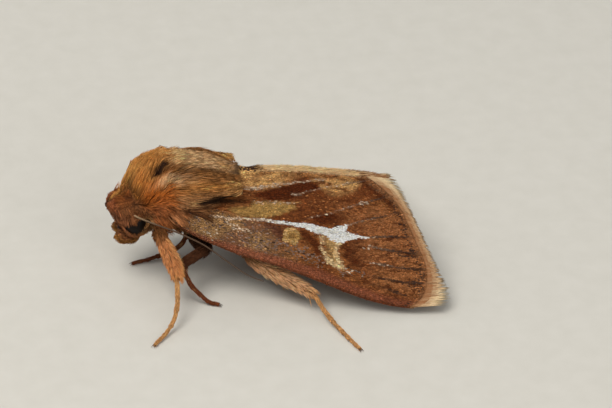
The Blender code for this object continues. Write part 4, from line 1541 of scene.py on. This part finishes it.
def add_leg_hairs(coat, place, number, count, where, lengths, lifts, width):
    """Hairs lying along a leg, rooted between two distances from its root; number tells its bake place."""
    rng = coat.rng
    keys, knee, ankle, foot = leg_layout(place)
    start = rng.uniform(*where, count)
    turn = rng.uniform(0, TAU, count)
    lift = rng.uniform(*lifts, count)
    length = rng.uniform(*lengths, count)
    paths, outward = along_path(keys, start, length, turn, leg_radius(place, start), lift)
    paths, _ = into_locks(rng, paths, 7, 0.35)
    paths[..., 2] = np.maximum(paths[..., 2], 0.012)
    share = np.interp(start, (0, knee, ankle, foot), (0, 1, 2, 3))
    colours = varied(rng, leg_colour(place, share), 0.15)
    coat.hairs(paths, width, outward, colours, (0.6, 1.2), (start / foot, (number + turn / TAU) / 3))


def add_fringe(coat, place, number):
    """Longer hairs along the rear edge of a tibia, pale at their tips."""
    rng = coat.rng
    keys, knee, ankle, foot = leg_layout(place)
    front = place.startswith("front")
    count = 600 if front else 250
    start = knee + (ankle - knee) * rng.uniform(0.1, 0.95, count)
    rear = math.pi if place.endswith("left") else 0.0
    turn = rear + rng.normal(0, 0.45, count)
    fullness = np.sin(np.pi * np.clip((start - knee) / (ankle - knee), 0, 1)) ** 0.5
    length = rng.uniform(0.35, 0.7 if front else 0.5, count)
    lift = (0.42 if front else 0.16) * fullness * rng.uniform(0.5, 1.0, count)
    paths, outward = along_path(keys, start, length, turn, leg_radius(place, start), lift)
    colours = varied(rng, leg_colour(place, np.full(count, 1.6)), 0.15)
    bake = (start / foot, (number + (turn % TAU) / TAU) / 3)
    coat.hairs(paths, 0.04, outward, colours, (0.6, 1.5), bake)


# ---------------------------------------------------------------- wings


def costa_roll(along, across):
    """How far the wing is rolled down towards its front edge."""
    near, far = COSTA_ROLL
    roll = near * smooth(0.38, 0.20, along) + far * smooth(0.5, 0.8, along) * smooth(1.0, 0.88, along)
    return roll * smooth(0.84, 1.0, across) ** 1.5


def wing_relief(along, across):
    """Height of the membrane over the roof: raised veins, slack cells and a rolled-down front edge."""
    plane = wing_plane(along, across)
    veins = vein_share(plane, VEIN_WIDTH)
    return 0.03 + 0.035 * veins + 0.02 * speckle(plane, 1.6, 41) - costa_roll(along, across)


def sheet_places(rows, columns):
    """Shares from the root to the rear edge and from the ridge to the outer edge, row by row."""
    return np.meshgrid(np.linspace(0, 1, rows), np.linspace(0, 1, columns), indexing="ij")


def sheet_faces(rows, columns):
    """Quads of an upper and a lower grid and of the rim between them."""
    half = rows * columns
    upper = grid_faces(rows, columns)
    lower = grid_faces(rows, columns, half)[:, ::-1]
    border = list(range(columns))
    border += [i * columns + columns - 1 for i in range(1, rows)]
    border += [(rows - 1) * columns + j for j in range(columns - 2, -1, -1)]
    border += [i * columns for i in range(rows - 2, 0, -1)]
    here = np.array(border)
    there = np.roll(here, -1)
    rim = np.stack([there, here, here + half, there + half], -1)
    return np.concatenate([upper, lower, rim])


def sheet_piece(name, material, top, under, place, upper_colours, under_colours):
    """A thin closed sheet between two grids of points."""
    vertices = np.concatenate([top.reshape(-1, 3), under.reshape(-1, 3)])
    colours = np.concatenate([upper_colours.reshape(-1, 3), under_colours.reshape(-1, 3)])
    obj = mesh_object(name, place(vertices), sheet_faces(*top.shape[:2]), colours)
    return finish_piece(obj, material, [name.replace("_membrane", "")])


def make_membrane(name, side, material):
    """The forewing's skin, with the wing's markings above and a plainer underside."""
    share, across = sheet_places(210, 105)
    along = share * membrane_end(across)
    relief = wing_relief(along, across)
    top = wing_point(along, across, relief)
    under = wing_point(along, across, relief - MEMBRANE)
    upper = forewing_colour(along, across, np.full(along.shape, 0.5)) * 0.8
    lower = underwing_colour(along, across)
    return sheet_piece(
        name, material, top, under, lambda points: laid_on_side(points, side), upper, lower
    )


def make_hindwing(name, side, material):
    """The folded hindwing under the forewing, a thin fan in soft pleats."""
    back, share = sheet_places(90, 70)
    outer = HINDWING_OUTER - 0.22 * (1 - back) ** 2
    across = HINDWING_INNER + (outer - HINDWING_INNER) * share
    reach = HINDWING_END + 0.9 * np.sin(share * np.pi / 2)
    y = HINDWING_ROOT + (reach - HINDWING_ROOT) * back
    fold = share * TAU * HINDWING_PLEATS
    top = roof(y, across)
    top[..., 2] -= HINDWING_DROP - 0.06 * np.sin(fold) * smooth(0.0, 0.3, back)
    under = top - np.array([0, 0, MEMBRANE])
    tone = layered(
        HINDWING,
        (GREY_DARK, np.clip(0.25 + 0.3 * np.cos(fold), 0, 1) * smooth(0.2, 0.7, back)),
        (FRINGE_OUTER, smooth(0.93, 0.97, back)),
    )
    return sheet_piece(
        name, material, top, under, lambda points: on_side(points, side), tone, tone * 0.95
    )


def scale_places(rng, row_gap, gap):
    """Staggered rows of places over the forewing's membrane, as (along, across)."""
    rows = int((TORNUS_Y - FOREWING_ROOT) / row_gap)
    places = []
    for i in range(rows):
        share = (i + 0.5) / rows
        width = wing_plane(np.array(share), np.array(1.0))[1]
        count = int(width / gap)
        across = (np.arange(count) + 0.5 * (i % 2) + 0.25) / count
        places.append(np.column_stack([np.full(count, share), across]))
    share, across = np.concatenate(places).T
    share = np.clip(share + rng.normal(0, 0.25 / rows, len(share)), 0.002, 0.998)
    across = np.clip(across + rng.normal(0, 0.003, len(across)), 0.002, 0.998)
    return share * membrane_end(across), across


def make_wing_coat(name, side, material):
    """Overlapping scales over the whole forewing, longer hair-scales at its root, and the fringe."""
    coat = Coat(707)
    rng = coat.rng
    along, across = scale_places(rng, 0.078, 0.054)
    count = len(along)
    back, down, out = wing_frame(along, across)
    roots = wing_point(along, across, wing_relief(along, across) - 0.003)
    swing = rng.normal(0, 0.14, count)[:, None]
    heading = unit(back * np.cos(swing) + down * np.sin(swing))
    beside = np.cross(heading, out)
    base = varied(rng, forewing_colour(along + SCALE_SHOWN, across, rng.random(count)), 0.20)
    length = rng.uniform(0.14, 0.20, count)
    width = rng.uniform(0.065, 0.09, count)
    pitch = rng.uniform(0.06, 0.22, count)
    made = vane_mesh(roots, heading, beside, out, length, width, pitch)
    coat.add(made, base * 0.88, np.minimum(base * 1.08, 1.0), np.column_stack([along, across]))
    add_root_hairs(coat)
    for row in FRINGE_ROWS:
        add_fringe_row(coat, *row)
    return coat.piece(name, material, "wing", lambda points: laid_on_side(points, side))


def add_root_hairs(coat):
    """Soft long scales over the wing's root and along its inner edge."""
    rng = coat.rng
    along = np.concatenate([rng.uniform(0.10, 0.30, 700), rng.uniform(0.36, 0.96, 600)])
    across = np.concatenate([rng.uniform(0.10, 0.60, 700), rng.uniform(0.0, 0.03, 600)])
    count = len(along)
    back, _, out = wing_frame(along, across)
    roots = wing_point(along, across, wing_relief(along, across))
    s = ALONG_HAIR[None, :, None]
    length = rng.uniform(0.3, 0.6, count)[:, None, None]
    lift = rng.uniform(0.04, 0.12, count)[:, None, None]
    sway = rng.normal(0, 0.04, (count, 1, 3))
    paths = roots[:, None] + back[:, None] * length * s + out[:, None] * lift * s + sway * s**2
    colours = varied(rng, forewing_colour(along, across, rng.random(count)), 0.12)
    outward = np.repeat(out[:, None], 4, 1)
    coat.hairs(paths, 0.04, outward, colours, (0.85, 1.25), (along, across))


def along_edge(edge, share):
    """The across at each share of the length of the wing's rear edge, edge(across) far along."""
    across = np.linspace(0, 1, 400)
    plane = wing_plane(edge(across), across)
    steps = np.linalg.norm(np.diff(plane, axis=0), axis=1)
    length = np.concatenate([[0.0], np.cumsum(steps)])
    return np.interp(share * length[-1], length, across)


def add_fringe_row(coat, count, reach, rise, pale):
    """Slim scales from the membrane's edge, in tufts, brown at the base and buff at the tips."""
    rng = coat.rng
    share = (np.arange(count) + rng.random(count)) / count
    tuft = (share * FRINGE_TUFTS).astype(int)
    aside, longer, paler = rng.normal(0, 1, (3, FRINGE_TUFTS))
    start = along_edge(membrane_end, share)
    drawn = share + 0.5 * ((tuft + 0.5) / FRINGE_TUFTS - share) + 0.004 * aside[tuft]
    end = along_edge(np.ones_like, np.clip(drawn + rng.normal(0, 0.003, count), 0, 1))
    along = membrane_end(start) - 0.008
    _, _, out = wing_frame(along, start)
    roots = wing_point(along, start, wing_relief(along, start) + rise)
    tips = wing_point(np.ones(count), end, -costa_roll(1.0, end))
    span = (reach * (rng.uniform(0.88, 1.10, count) + 0.04 * longer[tuft]))[:, None, None]
    s = ALONG_HAIR[None, :, None]
    bow = out[:, None] * 0.05 * np.sin(np.pi * s)
    paths = roots[:, None] + (tips - roots)[:, None] * s * span + bow
    corner = np.maximum(smooth(0.25, 0.05, start), smooth(0.78, 0.95, start))
    inner = mix(FRINGE_INNER, FRINGE_OUTER, 0.8 * smooth(0.12, 0.03, start))
    outer = mix(FRINGE_OUTER, FRINGE_CORNER, corner)
    paleness = np.clip(pale + 0.16 * paler[tuft] + rng.normal(0, 0.18, count), 0, 1)
    base = varied(rng, mix(inner, outer, 0.25 * paleness), 0.10)
    tip = varied(rng, mix(inner, outer, paleness), 0.08)
    made = strand_mesh(paths, np.full(count, 0.06), np.repeat(out[:, None], 4, 1), flatness=0.25)
    coat.add(made, base * 0.85, tip, np.column_stack([along, start]))


# ---------------------------------------------------------------- small hard parts


def make_eye(name, side, material):
    """A faceted ball, a little flattened against the head."""
    lift = np.radians(np.linspace(-89, 89, 40))[:, None]
    turn = in_turn(64)[None]
    out, level = np.sin(lift) + 0 * turn, np.cos(lift)
    ball = np.stack([EYE_FLATTENING * out, level * np.cos(turn), level * np.sin(turn)], -1)
    obj = mesh_object(name, *loft_mesh(on_side(EYE_CENTRE + EYE_RADIUS * ball, side)))
    return finish_piece(obj, material, [name.replace("_ball", "")])


def make_antenna(name, side, material):
    """A feeler of short ringed joints, thick at the root and thread-thin at the tip."""
    keys = keyed_by_length(on_side(ANTENNA_LEFT, side))
    joints, per_joint, sides = 76, 4, 12
    count = joints * per_joint
    place = np.linspace(0, 1, count)
    within = (np.arange(count) % per_joint) / per_joint
    radii = (0.050 - 0.026 * place) * (0.82 + 0.30 * np.sin(np.pi * (0.2 + 0.8 * within)))
    radii = np.where(place < 0.03, 0.09, radii)
    vertices, faces = loft_mesh(tube_rings(keys, place * keys[-1, 0], radii, sides))
    above = np.sin(in_turn(sides) + math.pi / sides)
    pale = np.clip(1.2 - 4.0 * place, 0.10, 1)[:, None] * (0.35 + 0.45 * (within < 0.5))[:, None]
    tone = mix(ANTENNA_DARK, ANTENNA_PALE, np.clip(pale * (0.75 + 0.6 * above), 0, 1))
    tone = np.concatenate([tone[:1], tone, tone[-1:]]).reshape(-1, 3)
    obj = mesh_object(name, vertices, faces, tone)
    return finish_piece(obj, material, [name.replace("_thread", "")])


def spike(root, direction, length, width, bend=(0, 0, 0)):
    """A curved thorn, as vertices and quads."""
    s = np.linspace(0, 1, 9)
    points = root + length * (s[:, None] * unit(direction) + s[:, None] ** 2 * np.asarray(bend))
    radii = width / 2 * np.sqrt(np.maximum(1 - s, 0.003))
    keys = keyed_by_length(points)
    return loft_mesh(tube_rings(keys, keys[:, 0], radii, 8))


def make_spurs(material):
    """The movable spurs of the middle and hind tibiae."""
    parts = []
    for place, shares in SPURS.items():
        keys, knee, ankle, _ = leg_layout(place)
        for share in shares:
            centre, along, side, up = path_frame(keys, knee + (ankle - knee) * share)
            for way, length in ((1.0, 0.62), (-1.0, 0.45)):
                root = centre - up * 0.10 + side * way * 0.08
                heading = along * 0.75 - up * 0.6 + side * way * 0.35
                parts.append(spike(root, heading, length, 0.07))
    return finish_piece(mesh_object("tibial_spurs", *joined(parts)), material)


def make_claws(material):
    """A pair of small hooked claws at the end of each foot, resting on the floor."""
    parts = []
    for place in LEGS:
        keys, _, _, foot = leg_layout(place)
        centre, along, side, _ = path_frame(keys, foot - 0.03)
        for way in (1.0, -1.0):
            root = centre + side * way * 0.03 + np.array([0, 0, 0.02])
            heading = along + side * way * 0.35
            parts.append(spike(root, heading, 0.19, 0.045, bend=(0, 0, -0.45)))
    vertices, faces = joined(parts)
    vertices[:, 2] = np.maximum(vertices[:, 2], 0.005)
    return finish_piece(mesh_object("claws", vertices, faces), material)


def make_tongue(material):
    """The coiled proboscis between the palps."""
    turns = np.linspace(0, 2.6 * TAU, 90)
    radius = 0.24 - 0.012 * turns
    coil = np.column_stack([0 * turns, -3.1 - radius * np.cos(turns), 2.62 + radius * np.sin(turns)])
    along = unit(np.gradient(coil, axis=0))
    side = np.array([1.0, 0, 0])
    up = np.cross(side, along)
    angle = in_turn(10)[None, :, None]
    out = side * np.cos(angle) + up[:, None] * np.sin(angle)
    thick = np.linspace(0.045, 0.018, 90)[:, None, None]
    obj = mesh_object("tongue", *loft_mesh(coil[:, None] + out * thick))
    return finish_piece(obj, material)


# ---------------------------------------------------------------- studio


def make_floor():
    corners = np.array([(-1, -1, 0), (1, -1, 0), (1, 1, 0), (-1, 1, 0)]) * FLOOR_REACH
    obj = mesh_object("floor", corners, [(0, 1, 2, 3)])
    obj.data.materials.append(floor_material())


def aimed(name, data, azimuth, elevation, distance, target=Vector()):
    """A camera or lamp in the scene that looks at target from azimuth and elevation, in degrees."""
    azimuth, elevation = math.radians(azimuth), math.radians(elevation)
    level = math.cos(elevation)
    direction = Vector((math.sin(azimuth) * level, -math.cos(azimuth) * level, math.sin(elevation)))
    obj = bpy.data.objects.new(name, data)
    obj.location = target + direction * distance
    obj.rotation_euler = direction.to_track_quat("Z", "Y").to_euler()
    bpy.context.scene.collection.objects.link(obj)
    return obj


def make_camera():
    data = bpy.data.cameras.new("camera")
    data.lens = CAMERA_LENS
    data.sensor_width = SENSOR_WIDTH
    data.clip_start = 0.005
    data.clip_end = 10.0
    target = (Vector(CAMERA_TARGET) + FRAME_SHIFT) * MM
    distance = CAMERA_DISTANCE * MM
    bpy.context.scene.camera = aimed("camera", data, CAMERA_AZIMUTH, CAMERA_ELEVATION, distance, target)


def make_light(name, azimuth, elevation, distance, size, power, colour):
    data = bpy.data.lights.new(name, "AREA")
    data.shape = "DISK"
    data.size = size
    data.energy = power
    data.color = colour
    aimed(name, data, azimuth, elevation, distance)


def make_studio():
    make_floor()
    make_camera()
    for light in LIGHTS:
        make_light(*light)
    world = bpy.data.worlds.new("studio")
    world.use_nodes = True
    background = world.node_tree.nodes["Background"]
    background.inputs["Color"].default_value = (0.86, 0.88, 0.90, 1)
    background.inputs["Strength"].default_value = 0.30
    bpy.context.scene.world = world
    bpy.context.scene.view_settings.view_transform = "Standard"


def main():
    hair = tinted_material("hair", 0.6, 0.12, 0.10, 0.10)
    scales = tinted_material("wing_scales", 0.6, 0.10, 0.05, 0.14)
    membrane = tinted_material("wing_membrane", 0.6, 0.12, 0.06, 0.25, bump=0.6)
    thread = tinted_material("antenna_scales", 0.6, 0.15, 0.03, 0.25, bump=0.4)
    eye = eye_material()
    horn = plain_material("spur_horn", LEG * 0.8, 0.5)
    claw = plain_material("claw_horn", paint(70, 42, 26), 0.35)
    make_studio()
    make_skin()
    make_head_coat(hair)
    make_collar_coat(hair)
    make_thorax_coat(hair)
    make_flank_coat(hair)
    make_abdomen_coat(hair)
    for side, sign in (("left", 1.0), ("right", -1.0)):
        make_pad_coat(f"shoulder_coat_{side}", sign, hair)
        make_leg_coat(side, hair)
        make_membrane(f"forewing_{side}_membrane", sign, membrane)
        make_hindwing(f"hindwing_{side}_membrane", sign, membrane)
        make_wing_coat(f"wing_coat_{side}", sign, scales)
        make_eye(f"eye_{side}_ball", sign, eye)
        make_antenna(f"antenna_{side}_thread", sign, thread)
    make_spurs(horn)
    make_claws(claw)
    make_tongue(claw)


main()
